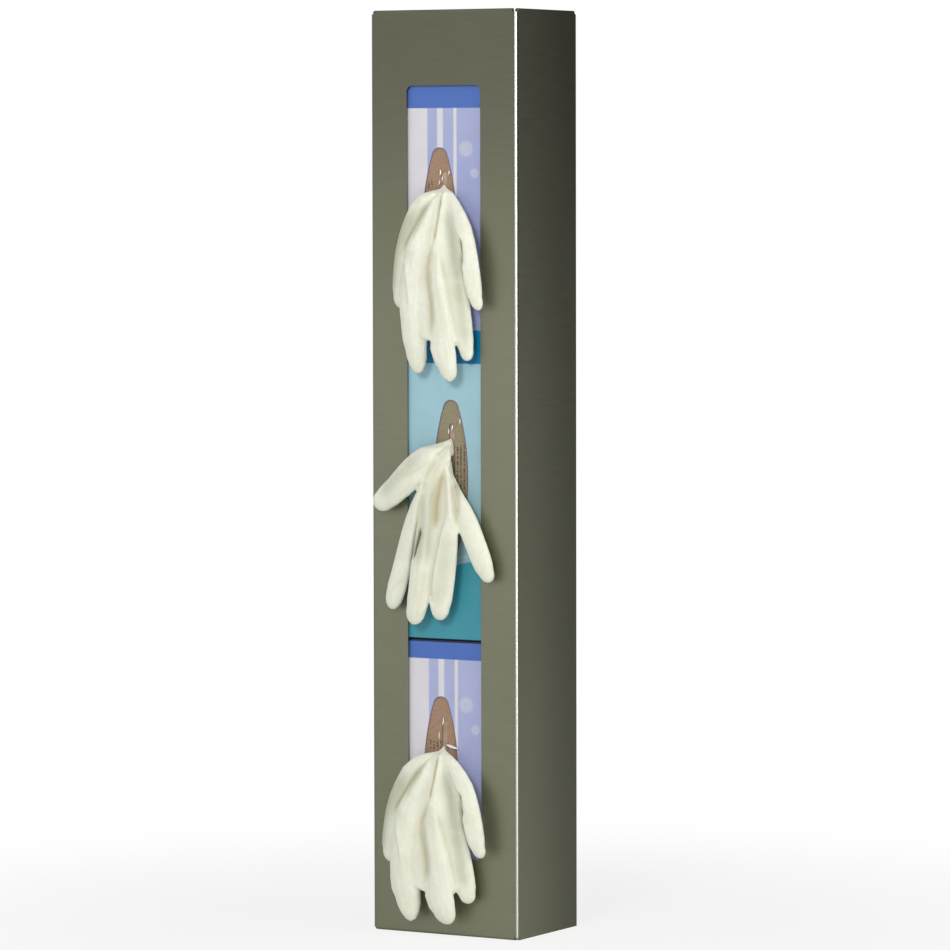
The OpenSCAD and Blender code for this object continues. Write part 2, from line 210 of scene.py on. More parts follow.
# The plate's level beside the housing's, and the sheet's streaks, clouds and smudges
PLATE_LEVEL = 0.96
STREAK_LEVELS = (0.965, 1.035)
CLOUD_LEVELS = (0.98, 1.02)
STEEL_ROUGHNESS = (0.35, 0.41)
SMUDGE = 0.06

# The front bends are smoother, and the right one is painted pale as a highlight, fully and
# then less and less, up to these distances from the housing's corner
SMOOTH_SPAN = (3.4 * MM, 4.2 * MM)
HIGHLIGHT_SPAN = (0.9 * MM, 1.9 * MM)
BEND_ROUGHNESS = 0.33
BEND_HIGHLIGHT_COLOUR = (0.60, 0.60, 0.58)

# Levels and roughness of the board, the card and the latex, and the latex shader's inputs
MOTTLE_LEVELS = (0.95, 1.05)
BOARD_ROUGHNESS = (0.34, 0.46)
CARD_ROUGHNESS = (0.62, 0.80)
LATEX_ROUGHNESS = (0.56, 0.66)
LATEX_CLOUDS = 0.3
LATEX_MOTTLE = 0.22
CREASE_SHADE_SHARE = 0.8
LATEX_INPUTS = {
    "Specular IOR Level": 0.3,
    "Subsurface Weight": 0.35,
    "Subsurface Radius": (1.0, 0.85, 0.6),
    "Subsurface Scale": 0.003,
    "Sheen Weight": 0.1,
    "Sheen Roughness": 0.45,
}

# Small pieces
WELD_FLATNESS = 0.09
WELD_END = 26 * MM
WELD_SEGMENTS = 14
WELD_RINGS = 8
NUB_R = 0.5 * MM
NUB_SCALES = ((0.8, 0.35, 0.35), (2.1, 0.45, 1.1))
FLAP_INSET = 1.2 * MM
FLAP_GAP = 0.8 * MM
FLAP_SPRING = 1.6 * MM
FLAP_SPRINGS = ((-1, 1.0), (1, 0.45))
FLAP_CROWN = 0.3
FLAP_STEPS = 8
FILM_T = 0.06 * MM

# A sliver of film: how far it stands off the card, the share of its curl that comes along
# its length, how much it narrows at its ends, and how late
SLIVER_STAND = 0.25
SLIVER_RISE = 0.6
SLIVER_TAPER = 0.85
SLIVER_POINT = 1.6
SLIVER_STEPS = 5
SLIVER_RAILS = (-1, -0.5, 0, 0.5, 1)

# Slivers of film, from the outlet's middle: their line, their width and how far they curl
SLIVERS = {
    "lower": ((((2.4, 46), (2.6, 43), (1.8, 40)), 1.1, 1.4),
              (((-1.2, 34), (-1.6, 31), (-1.0, 28)), 0.9, 1.2),
              (((5.0, 24), (10.5, 22.8), (17.8, 21)), 2.4, 2.6)),
    "middle": ((((1.2, 43), (1.8, 41), (1.2, 38)), 1.1, 1.3),
               (((8.0, 48), (9.0, 46), (8.6, 43.6)), 0.9, 1.0),
               (((-2.0, 40), (-1.6, 37.8), (-2.2, 35.4)), 0.9, 1.2)),
    "upper": ((((0.6, 45.5), (1.4, 43), (0.8, 40.6)), 1.2, 1.4),
              (((3.2, 40), (2.8, 38), (3.4, 35.8)), 1.0, 1.2),
              (((8.6, 44.6), (9.4, 43), (9.0, 41)), 0.9, 1.1),
              (((-0.4, 37), (0.2, 35), (-0.4, 32.8)), 0.9, 1.2)),
}

# Where a glove comes to a point at its slit: right of and above the outlet's middle, how
# far below that its full width begins, and the share of it that the point keeps
PEAKS = {"lower": (3, 24), "middle": (0.5, 32), "upper": (4, 34)}
PEAK_DROP = 8
PEAK_RISE = 0.5
PEAK_SHARE = 0.06
PEAK_CURVE = 0.8

# Seeds of the gloves' wrinkles
GLOVE_SEEDS = {
    "lower": Vector((3.1, 7.7, 1.3)),
    "middle": Vector((11.9, 2.4, 5.6)),
    "upper": Vector((6.5, 4.2, 9.8)),
}

# The studio: the side that reflects palest and its darkest and palest level, and the side
# that the light comes from with its weakest and strongest level
PALE_SIDE = (-0.6, -0.8, 0)
MIRROR_LEVELS = (0.105, 0.92)
BRIGHT_SIDE = (0.45, -0.89, 0)
DIFFUSE_LEVELS = (0.24, 0.60)
SIDE_SOFT = 0.9

# The floor: its colours and shader values. It fades into the backdrop from and to these
# distances, by these shares.
FLOOR_COLOURS = ((0.86, 0.86, 0.85), (0.89, 0.89, 0.88))
FLOOR_INPUTS = {"Roughness": 0.9, "Specular IOR Level": 0.1}
FLOOR_SIDES = 96
FLOOR_CLOUD_TURNS = 8.0
FADE_REACH = (0.2, 0.8)
FADE_SHARES = (0.8, 1.0)

# The camera's sensor in millimetres, and how far it sees
SENSOR_W = 36
SIGHT = 100


# ---------------------------------------------------------------- sizes taken from the frame

HOUSING_LOW, HOUSING_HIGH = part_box("housing")
FRONT_Y = HOUSING_LOW.y
PLATE_LOW, PLATE_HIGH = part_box("back_plate")


def carton_box(level):
    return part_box("carton_" + level)


def carton_middle_x(level):
    low, high = carton_box(level)
    return (low.x + high.x) / 2


def liner_middle(level):
    """Middle of a liner's front face, which is the middle of its outlet too."""
    low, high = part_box("outlet_liner_" + level)
    return Vector(((low.x + high.x) / 2, low.y, (low.z + high.z) / 2))


# ---------------------------------------------------------------- settings


class SteelSettings(bpy.types.PropertyGroup):
    sheet_color: bpy.props.FloatVectorProperty(
        name="Sheet colour", description="Colour of the brushed sheet", subtype="COLOR",
        size=3, default=(0.249, 0.251, 0.178), min=0, max=1)
    brush_length: bpy.props.FloatProperty(
        name="Brush length", description="Length of a brushing mark across the sheet",
        default=0.022, min=0.002, max=0.2, unit="LENGTH")
    brush_width: bpy.props.FloatProperty(
        name="Brush width", description="Width of a brushing mark",
        default=0.0007, min=0.0002, max=0.005, unit="LENGTH")
    weld_pitch: bpy.props.FloatProperty(
        name="Weld pitch", description="Distance between the spot welds of the back plate",
        default=0.062, min=0.02, max=0.2, unit="LENGTH")
    weld_radius: bpy.props.FloatProperty(
        name="Weld radius", description="Radius of one spot weld's mark",
        default=0.0026, min=0.001, max=0.006, unit="LENGTH")
    weld_inset: bpy.props.FloatProperty(
        name="Weld inset", description="Distance of the welds from the housing's side",
        default=0.0075, min=0.004, max=0.012, unit="LENGTH")


class CartonSettings(bpy.types.PropertyGroup):
    band_color: bpy.props.FloatVectorProperty(
        name="Blue band", description="Colour of the striped cartons' band", subtype="COLOR",
        size=3, default=(0.068, 0.150, 0.480), min=0, max=1)
    pale_color: bpy.props.FloatVectorProperty(
        name="Pale stripes", description="Colour of the pale stripes", subtype="COLOR",
        size=3, default=(0.690, 0.670, 0.710), min=0, max=1)
    lavender_color: bpy.props.FloatVectorProperty(
        name="Lavender stripes", description="Colour of the lavender stripes", subtype="COLOR",
        size=3, default=(0.400, 0.440, 0.665), min=0, max=1)
    sky_color: bpy.props.FloatVectorProperty(
        name="Light blue field", description="Upper field of the middle carton", subtype="COLOR",
        size=3, default=(0.350, 0.580, 0.660), min=0, max=1)
    teal_color: bpy.props.FloatVectorProperty(
        name="Teal field", description="Lower field of the middle carton", subtype="COLOR",
        size=3, default=(0.045, 0.285, 0.360), min=0, max=1)
    deep_color: bpy.props.FloatVectorProperty(
        name="Deep teal band", description="Band at the top of the middle carton",
        subtype="COLOR", size=3, default=(0.001, 0.190, 0.385), min=0, max=1)
    nub_pitch: bpy.props.FloatProperty(
        name="Perforation pitch", description="Distance between the torn perforation nubs",
        default=0.0042, min=0.002, max=0.02, unit="LENGTH")
    flap_t: bpy.props.FloatProperty(
        name="Flap thickness", description="Thickness of the board of an end flap",
        default=0.0006, min=0.0003, max=0.001, unit="LENGTH")


class GloveSettings(bpy.types.PropertyGroup):
    latex_color: bpy.props.FloatVectorProperty(
        name="Latex colour", description="Colour of the gloves", subtype="COLOR",
        size=3, default=(0.860, 0.868, 0.745), min=0, max=1)
    # Painted shade: the tan that the gloves take deep in their folds
    crease_shade_color: bpy.props.FloatVectorProperty(
        name="Crease shade colour", description="Painted shade of the gloves deep in their folds",
        subtype="COLOR", size=3, default=(0.470, 0.400, 0.205), min=0, max=1)
    grid: bpy.props.FloatProperty(
        name="Grid", description="Size of a face of the finished gloves",
        default=0.0009, min=0.0006, max=0.003, unit="LENGTH")
    fold_scale: bpy.props.FloatProperty(
        name="Fold depth", description="Depth of the folds, as a share of the modelled one",
        default=1.0, min=0, max=2)


class StageSettings(bpy.types.PropertyGroup):
    lens: bpy.props.FloatProperty(
        name="Lens", description="Focal length on a 36 mm wide sensor, in millimetres",
        default=202.07, min=20, max=400)
    floor_reach: bpy.props.FloatProperty(
        name="Floor reach", description="Distance from the dispenser to the floor's edge",
        default=6.0, min=1, max=50, unit="LENGTH")


# ---------------------------------------------------------------- node helpers


def node(tree, kind, **values):
    """Adds a node. A value is an attribute's name, or an input's name with spaces as _."""
    made = tree.nodes.new(kind)
    for name, value in values.items():
        if hasattr(made, name):
            setattr(made, name, value)
        else:
            plug(tree, made.inputs[name.replace("_", " ")], value)
    return made


def plug(tree, socket, value):
    """Links a socket to the input, or sets the input's own value."""
    if isinstance(value, bpy.types.NodeSocket):
        tree.links.new(value, socket)
    elif hasattr(value, "__len__") and len(value) == 3 and socket.type == "RGBA":
        socket.default_value = (*value, 1)
    else:
        socket.default_value = value


def maths(tree, operation, *terms, clamp=False):
    made = tree.nodes.new("ShaderNodeMath")
    made.operation = operation
    made.use_clamp = clamp
    for socket, term in zip(made.inputs, terms):
        plug(tree, socket, term)
    return made.outputs[0]


def times(tree, first, *others):
    """The product of two or more values."""
    for other in others:
        first = maths(tree, "MULTIPLY", first, other)
    return first


def blend(tree, factor, first, second):
    """Colour that goes from the first to the second as the factor goes from 0 to 1."""
    made = tree.nodes.new("ShaderNodeMix")
    made.data_type = "RGBA"
    plug(tree, made.inputs[0], factor)
    plug(tree, made.inputs[6], first)
    plug(tree, made.inputs[7], second)
    return made.outputs[2]


def blend_value(tree, factor, first, second):
    """Value that goes from the first to the second as the factor goes from 0 to 1."""
    made = tree.nodes.new("ShaderNodeMix")
    plug(tree, made.inputs[0], factor)
    plug(tree, made.inputs[2], first)
    plug(tree, made.inputs[3], second)
    return made.outputs[0]


def vector_maths(tree, operation, *terms):
    made = node(tree, "ShaderNodeVectorMath", operation=operation)
    for socket, term in zip(made.inputs, terms):
        plug(tree, socket, term)
    return made.outputs


def length_of(tree, vector):
    return vector_maths(tree, "LENGTH", vector)["Value"]


def scaled(tree, colour, level):
    """The colour, made darker or paler by the level."""
    made = node(tree, "ShaderNodeVectorMath", operation="SCALE", Scale=level)
    plug(tree, made.inputs[0], colour)
    return made.outputs[0]


def ramp(tree, value, low, high, start=0.0, end=1.0):
    """The value's range low to high, smoothly carried over to start to end."""
    made = tree.nodes.new("ShaderNodeMapRange")
    made.interpolation_type = "SMOOTHSTEP"
    for socket, term in zip(made.inputs, (value, low, high, start, end)):
        plug(tree, socket, term)
    return made.outputs[0]


def over_noise(tree, value, start=0.0, end=1.0, middle=USUAL):
    """That part of a noise's range, smoothly carried over to start to end."""
    return ramp(tree, value, *middle, start, end)


def above_line(tree, value, line, soft=EDGE_SOFT):
    """1 where the value lies above the line, with a soft edge."""
    return ramp(tree, value, line - soft, line + soft)


def within(tree, value, low, high, soft=EDGE_SOFT):
    """1 where the value lies between low and high, with soft edges."""
    fall = ramp(tree, value, high - soft, high + soft, 1.0, 0.0)
    return times(tree, above_line(tree, value, low, soft), fall)


def place_of(tree, middle=(0, 0, 0)):
    """The shaded point from the middle given: as a vector, and its X, Y and Z."""
    coordinates = node(tree, "ShaderNodeTexCoord")
    moved = vector_maths(tree, "SUBTRACT", coordinates.outputs["Object"], middle)[0]
    split = node(tree, "ShaderNodeSeparateXYZ")
    plug(tree, split.inputs[0], moved)
    return moved, split.outputs


def noise(tree, vector, scale=1.0, detail=2.0, roughness=0.5, stretch=None):
    """Noise at that scale, or with so many turns a metre along X, Y and Z."""
    if stretch is not None:
        vector = vector_maths(tree, "MULTIPLY", vector, stretch)[0]
    made = node(tree, "ShaderNodeTexNoise", Vector=vector, Scale=scale, Detail=detail,
                Roughness=roughness)
    return made.outputs["Fac"]


def bump(tree, height, distance, strength=1.0, under=None):
    """Normals of a relief. It may lie over another one."""
    made = node(tree, "ShaderNodeBump", Height=height, Distance=distance, Strength=strength)
    if under is not None:
        tree.links.new(under, made.inputs["Normal"])
    return made.outputs["Normal"]


def new_material(name):
    """A node material with its Principled shader, and the shader's tree."""
    material = bpy.data.materials.new(name)
    material.use_nodes = True
    shader = material.node_tree.nodes["Principled BSDF"]
    return material, material.node_tree, shader


def new_group(name, inputs, outputs):
    """A shader node group, with inputs as (name, kind, default) and outputs as (name, kind)."""
    tree = bpy.data.node_groups.new(name, "ShaderNodeTree")
    for title, kind, default in inputs:
        socket = tree.interface.new_socket(title, in_out="INPUT", socket_type=kind)
        if default is not None:
            socket.default_value = default
    for title, kind in outputs:
        tree.interface.new_socket(title, in_out="OUTPUT", socket_type=kind)
    return tree, tree.nodes.new("NodeGroupInput").outputs, tree.nodes.new("NodeGroupOutput").inputs


def use_group(tree, name, **values):
    made = tree.nodes.new("ShaderNodeGroup")
    made.node_tree = bpy.data.node_groups[name]
    for title, value in values.items():
        plug(tree, made.inputs[title.replace("_", " ")], value)
    return made.outputs


def set_inputs(shader, values):
    for title, value in values.items():
        shader.inputs[title].default_value = value


# ---------------------------------------------------------------- shared effects


def build_brushing():
    """Fine marks of a brushed sheet: they run across X and Y, and are narrow up Z."""
    tree, given, put = new_group(
        "Brushing",
        [("Vector", "NodeSocketVector", None), ("Length", "NodeSocketFloat", 0.03),
         ("Width", "NodeSocketFloat", 0.0009)],
        [("Marks", "NodeSocketFloat"), ("Clouds", "NodeSocketFloat")])
    along = maths(tree, "DIVIDE", 1.0, given["Length"])
    across = maths(tree, "DIVIDE", 1.0, given["Width"])
    turns = node(tree, "ShaderNodeCombineXYZ", X=along, Y=along, Z=across).outputs[0]
    marks = noise(tree, given["Vector"], stretch=turns, **STREAK_DETAIL)
    clouds = noise(tree, given["Vector"], CLOUD_TURNS, stretch=CLOUD_STRETCH)
    tree.links.new(marks, put["Marks"])
    tree.links.new(clouds, put["Clouds"])


def build_coated_board():
    """Mottling of printed, coated board, and the slight waves of its face."""
    tree, given, put = new_group(
        "Coated board", [("Vector", "NodeSocketVector", None)],
        [("Mottle", "NodeSocketFloat"), ("Waves", "NodeSocketFloat")])
    fine = noise(tree, given["Vector"], MOTTLE_TURNS, detail=3.0)
    broad = noise(tree, given["Vector"], PATCH_TURNS)
    patches = times(tree, broad, PATCH_SHARE)
    mixed = maths(tree, "MULTIPLY_ADD", fine, 1 - PATCH_SHARE, patches)
    waves = noise(tree, given["Vector"], WAVE_TURNS, detail=1.0)
    tree.links.new(mixed, put["Mottle"])
    tree.links.new(waves, put["Waves"])


def build_paper_fibre():
    """Short fibres of unbleached card, and its speckles."""
    tree, given, put = new_group(
        "Paper fibre", [("Vector", "NodeSocketVector", None)],
        [("Fibres", "NodeSocketFloat"), ("Specks", "NodeSocketFloat")])
    fibres = noise(tree, given["Vector"], detail=4.0, stretch=FIBRE_STRETCH)
    specks = noise(tree, given["Vector"], SPECK_TURNS, detail=1.0)
    tree.links.new(fibres, put["Fibres"])
    tree.links.new(ramp(tree, specks, *SPECK_RANGE), put["Specks"])


def build_shared_groups():
    build_brushing()
    build_coated_board()
    build_paper_fibre()


# ---------------------------------------------------------------- materials


def at_bend(tree, x, y, span):
    """1 at the housing's front corner on that X's side, over the span, full and then fading."""
    full, faded = span
    return times(tree, ramp(tree, x, HOUSING_HIGH.x - faded, HOUSING_HIGH.x - full),
                 ramp(tree, y, FRONT_Y + full, FRONT_Y + faded, 1.0, 0.0))


def stainless(name, colour, rear_shade_level):
    """Brushed stainless sheet, painted a little darker toward its top and its rear as shade, with a
    painted highlight on its right front bend.
    """
    settings = bpy.context.scene.dispenser_steel
    material, tree, shader = new_material(name)
    vector, xyz = place_of(tree)
    brushed = use_group(tree, "Brushing", Vector=vector, Length=settings.brush_length,
                        Width=settings.brush_width)
    # Painted shade: the colour darkens toward the top, the front more than the sides, and toward the
    # rear
    across = maths(tree, "ABSOLUTE", xyz[0])
    side = ramp(tree, across, *(HOUSING_HIGH.x - skin for skin in SIDE_SKIN))
    front_shade, side_shade = (ramp(tree, xyz[2], SHADE_FROM_Z, HOUSING_HIGH.z, 1.0, level)
                               for level in (FRONT_TOP_SHADE, SIDE_TOP_SHADE))
    rear = ramp(tree, xyz[1], FRONT_Y, HOUSING_HIGH.y, 1.0, rear_shade_level)
    drift = times(tree, rear, blend_value(tree, side, front_shade, side_shade))
    streak = over_noise(tree, brushed["Marks"], *STREAK_LEVELS)
    cloud = over_noise(tree, brushed["Clouds"], *CLOUD_LEVELS)
    level = times(tree, drift, streak, cloud)
    # Painted highlight: the right front bend is made pale, so that it shows as a bright line
    bend_highlight = at_bend(tree, xyz[0], xyz[1], HIGHLIGHT_SPAN)
    plug(tree, shader.inputs["Base Color"],
         blend(tree, bend_highlight, scaled(tree, colour, level), BEND_HIGHLIGHT_COLOUR))
    shader.inputs["Metallic"].default_value = 1.0
    rough = over_noise(tree, brushed["Marks"], *STEEL_ROUGHNESS, WIDE)
    smudged = maths(tree, "MULTIPLY_ADD", brushed["Clouds"], SMUDGE, rough)
    smooth = at_bend(tree, across, xyz[1], SMOOTH_SPAN)
    plug(tree, shader.inputs["Roughness"], blend_value(tree, smooth, smudged, BEND_ROUGHNESS))
    plug(tree, shader.inputs["Normal"], bump(tree, brushed["Marks"], *STREAK_RELIEF))
    return material


def front_only(tree, xyz, level, printed, plain):
    """The print on a carton's front, and a plain field on its other faces.

    The joint of the lower and the middle carton gapes a little, and the shadow inside it is painted
    dark on the board.
    """
    front = ramp(tree, xyz[1], *PRINT_DEPTH, 1.0, 0.0)
    colour = blend(tree, front, plain, printed)
    if level not in JOINT_SHADOW_SPANS:
        return colour
    # Painted shadow: the board is darkened along the joint
    foot, top = JOINT_SHADOW_SPANS[level]
    joint = times(tree, within(tree, xyz[2], foot * MM, top * MM),
                  ramp(tree, xyz[1], *JOINT_SHADOW_DEPTH, 1.0, 0.0))
    return blend(tree, joint, colour, JOINT_SHADOW_COLOUR)


def outlet_rim(tree, xyz, rise):
    """1 along the torn edge of the oval outlet, whose middle is that high above the foot."""
    x = maths(tree, "ABSOLUTE", xyz[0])
    z = maths(tree, "ABSOLUTE", maths(tree, "SUBTRACT", xyz[2], rise))
    flank = node(tree, "ShaderNodeCombineXYZ", X=maths(tree, "ADD", x, FLANK_X), Z=z)
    end = node(tree, "ShaderNodeCombineXYZ", X=x, Z=maths(tree, "SUBTRACT", z, END_Z))
    past_flank, past_end = (maths(tree, "SUBTRACT", length_of(tree, arc.outputs[0]), radius)
                            for arc, radius in ((flank, FLANK_R), (end, END_R)))
    beyond = maths(tree, "GREATER_THAN", z, END_Z)
    outside = blend_value(tree, beyond, past_flank, past_end)
    return ramp(tree, outside, RIM_W * RIM_CORE, RIM_W, 1.0, 0.0)


def finish_board(level, tree, shader, vector, xyz, printed, plain):
    """A carton's print on coated board, with its torn outlet rim, darkened partly as the torn edge and
    partly as painted shade, and its worn upright folds.
    """
    low, high = carton_box(level)
    # The rim is darkened partly as the torn board edge and partly as painted shade
    rim = outlet_rim(tree, xyz, liner_middle(level).z - low.z)
    colour = front_only(tree, xyz, level, blend(tree, rim, printed, RIM_EDGE_AND_SHADE_COLOUR), plain)
    coat = use_group(tree, "Coated board", Vector=vector)
    toned = scaled(tree, colour, over_noise(tree, coat["Mottle"], *MOTTLE_LEVELS))
    side = maths(tree, "SUBTRACT", (high.x - low.x) / 2, maths(tree, "ABSOLUTE", xyz[0]))
    worn = ramp(tree, side, *WORN_REACH, WORN_SHARE, 0.0)
    patchy = times(tree, worn, over_noise(tree, coat["Waves"], middle=NARROW))
    plug(tree, shader.inputs["Base Color"], blend(tree, patchy, toned, BOARD_EDGE))
    plug(tree, shader.inputs["Roughness"], over_noise(tree, coat["Waves"], *BOARD_ROUGHNESS))
    waves = bump(tree, coat["Waves"], *BOARD_WAVE_RELIEF)
    plug(tree, shader.inputs["Normal"], bump(tree, coat["Mottle"], *MOTTLE_RELIEF, waves))


def striped_board(level):
    """Board printed with upright pale and lavender stripes under a plain blue band."""
    settings = bpy.context.scene.dispenser_cartons
    low, high = carton_box(level)
    material, tree, shader = new_material("board_striped_" + level)
    vector, xyz = place_of(tree, (carton_middle_x(level), low.y, low.z))
    pale = tuple(settings.pale_color)
    drift = ramp(tree, xyz[2], 0.0, high.z - low.z)
    lavender = blend(tree, drift, LAVENDER_FOOT, tuple(settings.lavender_color))
    colour = pale
    for start, end in LAVENDER_STRIPES:
        stripe = within(tree, xyz[0], start * MM, end * MM, STRIPE_SOFT)
        colour = blend(tree, stripe, colour, lavender)
    for x, z, radius in BUBBLES[level]:
        disc = soft_disc(tree, xyz, x * MM, z * MM, radius * MM)
        colour = blend(tree, disc, colour, pale)
    band = above_line(tree, xyz[2], BAND_FOOT[level] * MM)
    colour = blend(tree, band, colour, tuple(settings.band_color))
    finish_board(level, tree, shader, vector, xyz, colour, pale)
    return material


def soft_disc(tree, xyz, x, z, radius):
    """A share inside a pale printed disc, and 0 outside, with a soft edge."""
    across = maths(tree, "SUBTRACT", xyz[0], x)
    up = maths(tree, "SUBTRACT", xyz[2], z)
    away = length_of(tree, node(tree, "ShaderNodeCombineXYZ", X=across, Y=up).outputs[0])
    return ramp(tree, away, radius * DISC_CORE, radius, DISC_STRENGTH, 0.0)


def teal_board():
    """Board printed light blue over teal, parted by a soft wave, under a deep teal band."""
    settings = bpy.context.scene.dispenser_cartons
    low, high = carton_box("middle")
    material, tree, shader = new_material("board_teal")
    vector, xyz = place_of(tree, (carton_middle_x("middle"), low.y, low.z))
    drift = ramp(tree, xyz[2], WAVE_Z * MM, high.z - low.z)
    sky = blend(tree, drift, SKY_FOOT, tuple(settings.sky_color))
    turn = times(tree, xyz[0], math.tau / (WAVE_LENGTH * MM))
    wave = maths(tree, "MULTIPLY_ADD", maths(tree, "SINE", turn), WAVE_RISE * MM, WAVE_Z * MM)
    above = maths(tree, "SUBTRACT", xyz[2], wave)
    upper = above_line(tree, above, 0.0, WAVE_SOFT)
    colour = blend(tree, upper, tuple(settings.teal_color), sky)
    line = within(tree, above, WAVE_LINE_Z * MM, (WAVE_LINE_Z + WAVE_LINE_W) * MM)
    faint = times(tree, line, WAVE_LINE_SHARE)
    colour = blend(tree, faint, colour, WAVE_LINE_COLOUR)
    band = above_line(tree, xyz[2], DEEP_BAND_FOOT * MM)
    colour = blend(tree, band, colour, tuple(settings.deep_color))
    finish_board("middle", tree, shader, vector, xyz, colour, tuple(settings.sky_color))
    return material


def liner_card(level):
    """Card behind an outlet, with fibres, shaded flanks and columns of short ticks."""
    material, tree, shader = new_material("liner_card_" + level)
    vector, xyz = place_of(tree, tuple(liner_middle(level)))
    fibre = use_group(tree, "Paper fibre", Vector=vector)
    base = LINER_COLOURS[level]
    deep = tuple(FIBRE_DEPTH * value for value in base)
    colour = blend(tree, over_noise(tree, fibre["Fibres"], middle=FIBRE_RANGE), deep, base)
    specks = times(tree, fibre["Specks"], SPECK_SHARE)
    colour = blend(tree, specks, colour, LINER_SPECK)
    shade = ramp(tree, maths(tree, "ABSOLUTE", xyz[0]), *FLANK_SHADE_REACH, 0.0,
                 FLANK_SHADE_SHARE)
    colour = blend(tree, shade, colour, LINER_SHADE)
    colour = blend(tree, ticks(tree, vector, xyz, *TICK_FIELDS[level]), colour, TICK_COLOUR)
    plug(tree, shader.inputs["Base Color"], colour)
    plug(tree, shader.inputs["Roughness"], over_noise(tree, fibre["Fibres"], *CARD_ROUGHNESS))
    plug(tree, shader.inputs["Normal"], bump(tree, fibre["Fibres"], *FIBRE_RELIEF))
    return material


def ticks(tree, vector, xyz, left, right, foot, top, columns):
    """1 on short dark ticks that stand in so many columns over a field of the card."""
    pitch = (right - left) / columns * MM
    column = maths(tree, "PINGPONG", maths(tree, "SUBTRACT", xyz[0], left * MM), pitch / 2)
    stroke = ramp(tree, column, *(pitch * share for share in TICK_STROKE))
    gaps = noise(tree, vector, detail=1.0, stretch=(1 / pitch, 1, TICK_RATE))
    broken = ramp(tree, gaps, *TICK_GAPS)
    field = times(tree, within(tree, xyz[0], left * MM, right * MM),
                  within(tree, xyz[2], foot * MM, top * MM, TICK_SOFT))
    return times(tree, stroke, broken, field)


def latex():
    """Thin natural latex: cream, with painted tan shade and darker painted shadow deep in its folds,
    and grey painted shade where it turns away.
    """
    settings = bpy.context.scene.dispenser_gloves
    material, tree, shader = new_material("glove_latex")
    vector = place_of(tree)[0]
    crease, gap, shade = (node(tree, "ShaderNodeAttribute", attribute_name=title).outputs["Fac"]
                          for title in PAINTED_SHADE_TONES)
    clouds = noise(tree, vector, SKIN_CLOUD_TURNS, detail=3.0)
    mottle = noise(tree, vector, detail=3.0, stretch=SKIN_MOTTLE_STRETCH)
    skin = tuple(settings.latex_color)
    skin = blend(tree, over_noise(tree, clouds, 0.0, LATEX_CLOUDS, WIDE), skin, LATEX_DULL)
    skin = blend(tree, over_noise(tree, mottle, 0.0, LATEX_MOTTLE), skin, LATEX_DULL)
    skin = blend(tree, shade, skin, LATEX_SHADE)
    # Painted shade: tan deep in the folds, and a dark painted shadow inside the gaps
    tan = times(tree, crease, CREASE_SHADE_SHARE)
    skin = blend(tree, tan, skin, tuple(settings.crease_shade_color))
    plug(tree, shader.inputs["Base Color"], blend(tree, gap, skin, LATEX_GAP_SHADOW))
    plug(tree, shader.inputs["Roughness"], over_noise(tree, clouds, *LATEX_ROUGHNESS))
    set_inputs(shader, LATEX_INPUTS)
    wrinkled = noise(tree, vector, detail=3.0, stretch=SKIN_WRINKLE_STRETCH)
    grain = noise(tree, vector, SKIN_GRAIN_TURNS)
    wavy = bump(tree, wrinkled, *SKIN_WRINKLE_RELIEF)
    plug(tree, shader.inputs["Normal"], bump(tree, grain, *SKIN_GRAIN_RELIEF, wavy))
    return material


def mottled(name):
    """The material of one of the finishes that wander."""
    finish = FINISHES[name]
    material, tree, shader = new_material(name)
    marks = noise(tree, place_of(tree)[0], stretch=finish.turns)
    plug(tree, shader.inputs["Base Color"], blend(tree, over_noise(tree, marks), *finish.colours))
    plug(tree, shader.inputs["Roughness"], over_noise(tree, marks, *finish.roughness))
    plug(tree, shader.inputs["Normal"], bump(tree, marks, *finish.relief))
    shader.inputs["Metallic"].default_value = finish.metallic
    return material



# ---------------------------------------------------------------- pieces


def new_object(name, data):
    """An object of the scene that shows the mesh, camera or light given."""
    made = bpy.data.objects.new(name, data)
    bpy.context.scene.collection.objects.link(made)
    return made


def finished_mesh(carrier):
    """The plain mesh that a carrier's modifiers make. The carrier is removed."""
    graph = bpy.context.evaluated_depsgraph_get()
    made = bpy.data.meshes.new_from_object(carrier.evaluated_get(graph), depsgraph=graph)
    carrier.modifiers.clear()
    bpy.data.objects.remove(carrier)
    return made


def mesh_of(shell, name):
    """The mesh of a bmesh, which is freed."""
    mesh = bpy.data.meshes.new(name)
    shell.to_mesh(mesh)
    shell.free()
    return mesh


def fill_rows(shell, rows):
    """Faces between the rows of a grid of points."""
    for low_row, high_row in zip(rows, rows[1:]):
        for k in range(len(low_row) - 1):
            shell.faces.new((low_row[k], low_row[k + 1], high_row[k + 1], high_row[k]))


def thickened(shell, name, outward, thickness, offset):
    """The mesh of an open shell that faces outward, given a thickness."""
    shell.normal_update()
    for face in shell.faces:
        if face.normal.dot(outward) < 0:
            face.normal_flip()
    carrier = new_object(name + "_carrier", mesh_of(shell, name))
    wall = carrier.modifiers.new("wall", "SOLIDIFY")
    wall.thickness = thickness
    wall.offset = offset
    return finished_mesh(carrier)


def dress(name, material):
    """Gives a frame node that material all over."""
    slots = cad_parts[name].data.materials
    slots.clear()
    slots.append(material)


def add_piece(mesh, name, material=None):
    """A piece of the scene that rides on the body and takes its finish from a slot."""
    piece = new_object(name, mesh)
    if material is not None:
        mesh.materials.clear()
        mesh.materials.append(material)
    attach(piece, BODY)
    return piece


def set_input(modifier, tree, name, value):
    """Sets a Geometry Nodes modifier's input by its socket's identifier."""
    for socket in tree.interface.items_tree:
        if socket.item_type == "SOCKET" and socket.in_out == "INPUT" and socket.name == name:
            modifier[socket.identifier] = value
            return
    raise RuntimeError("the tree has no input named " + name)


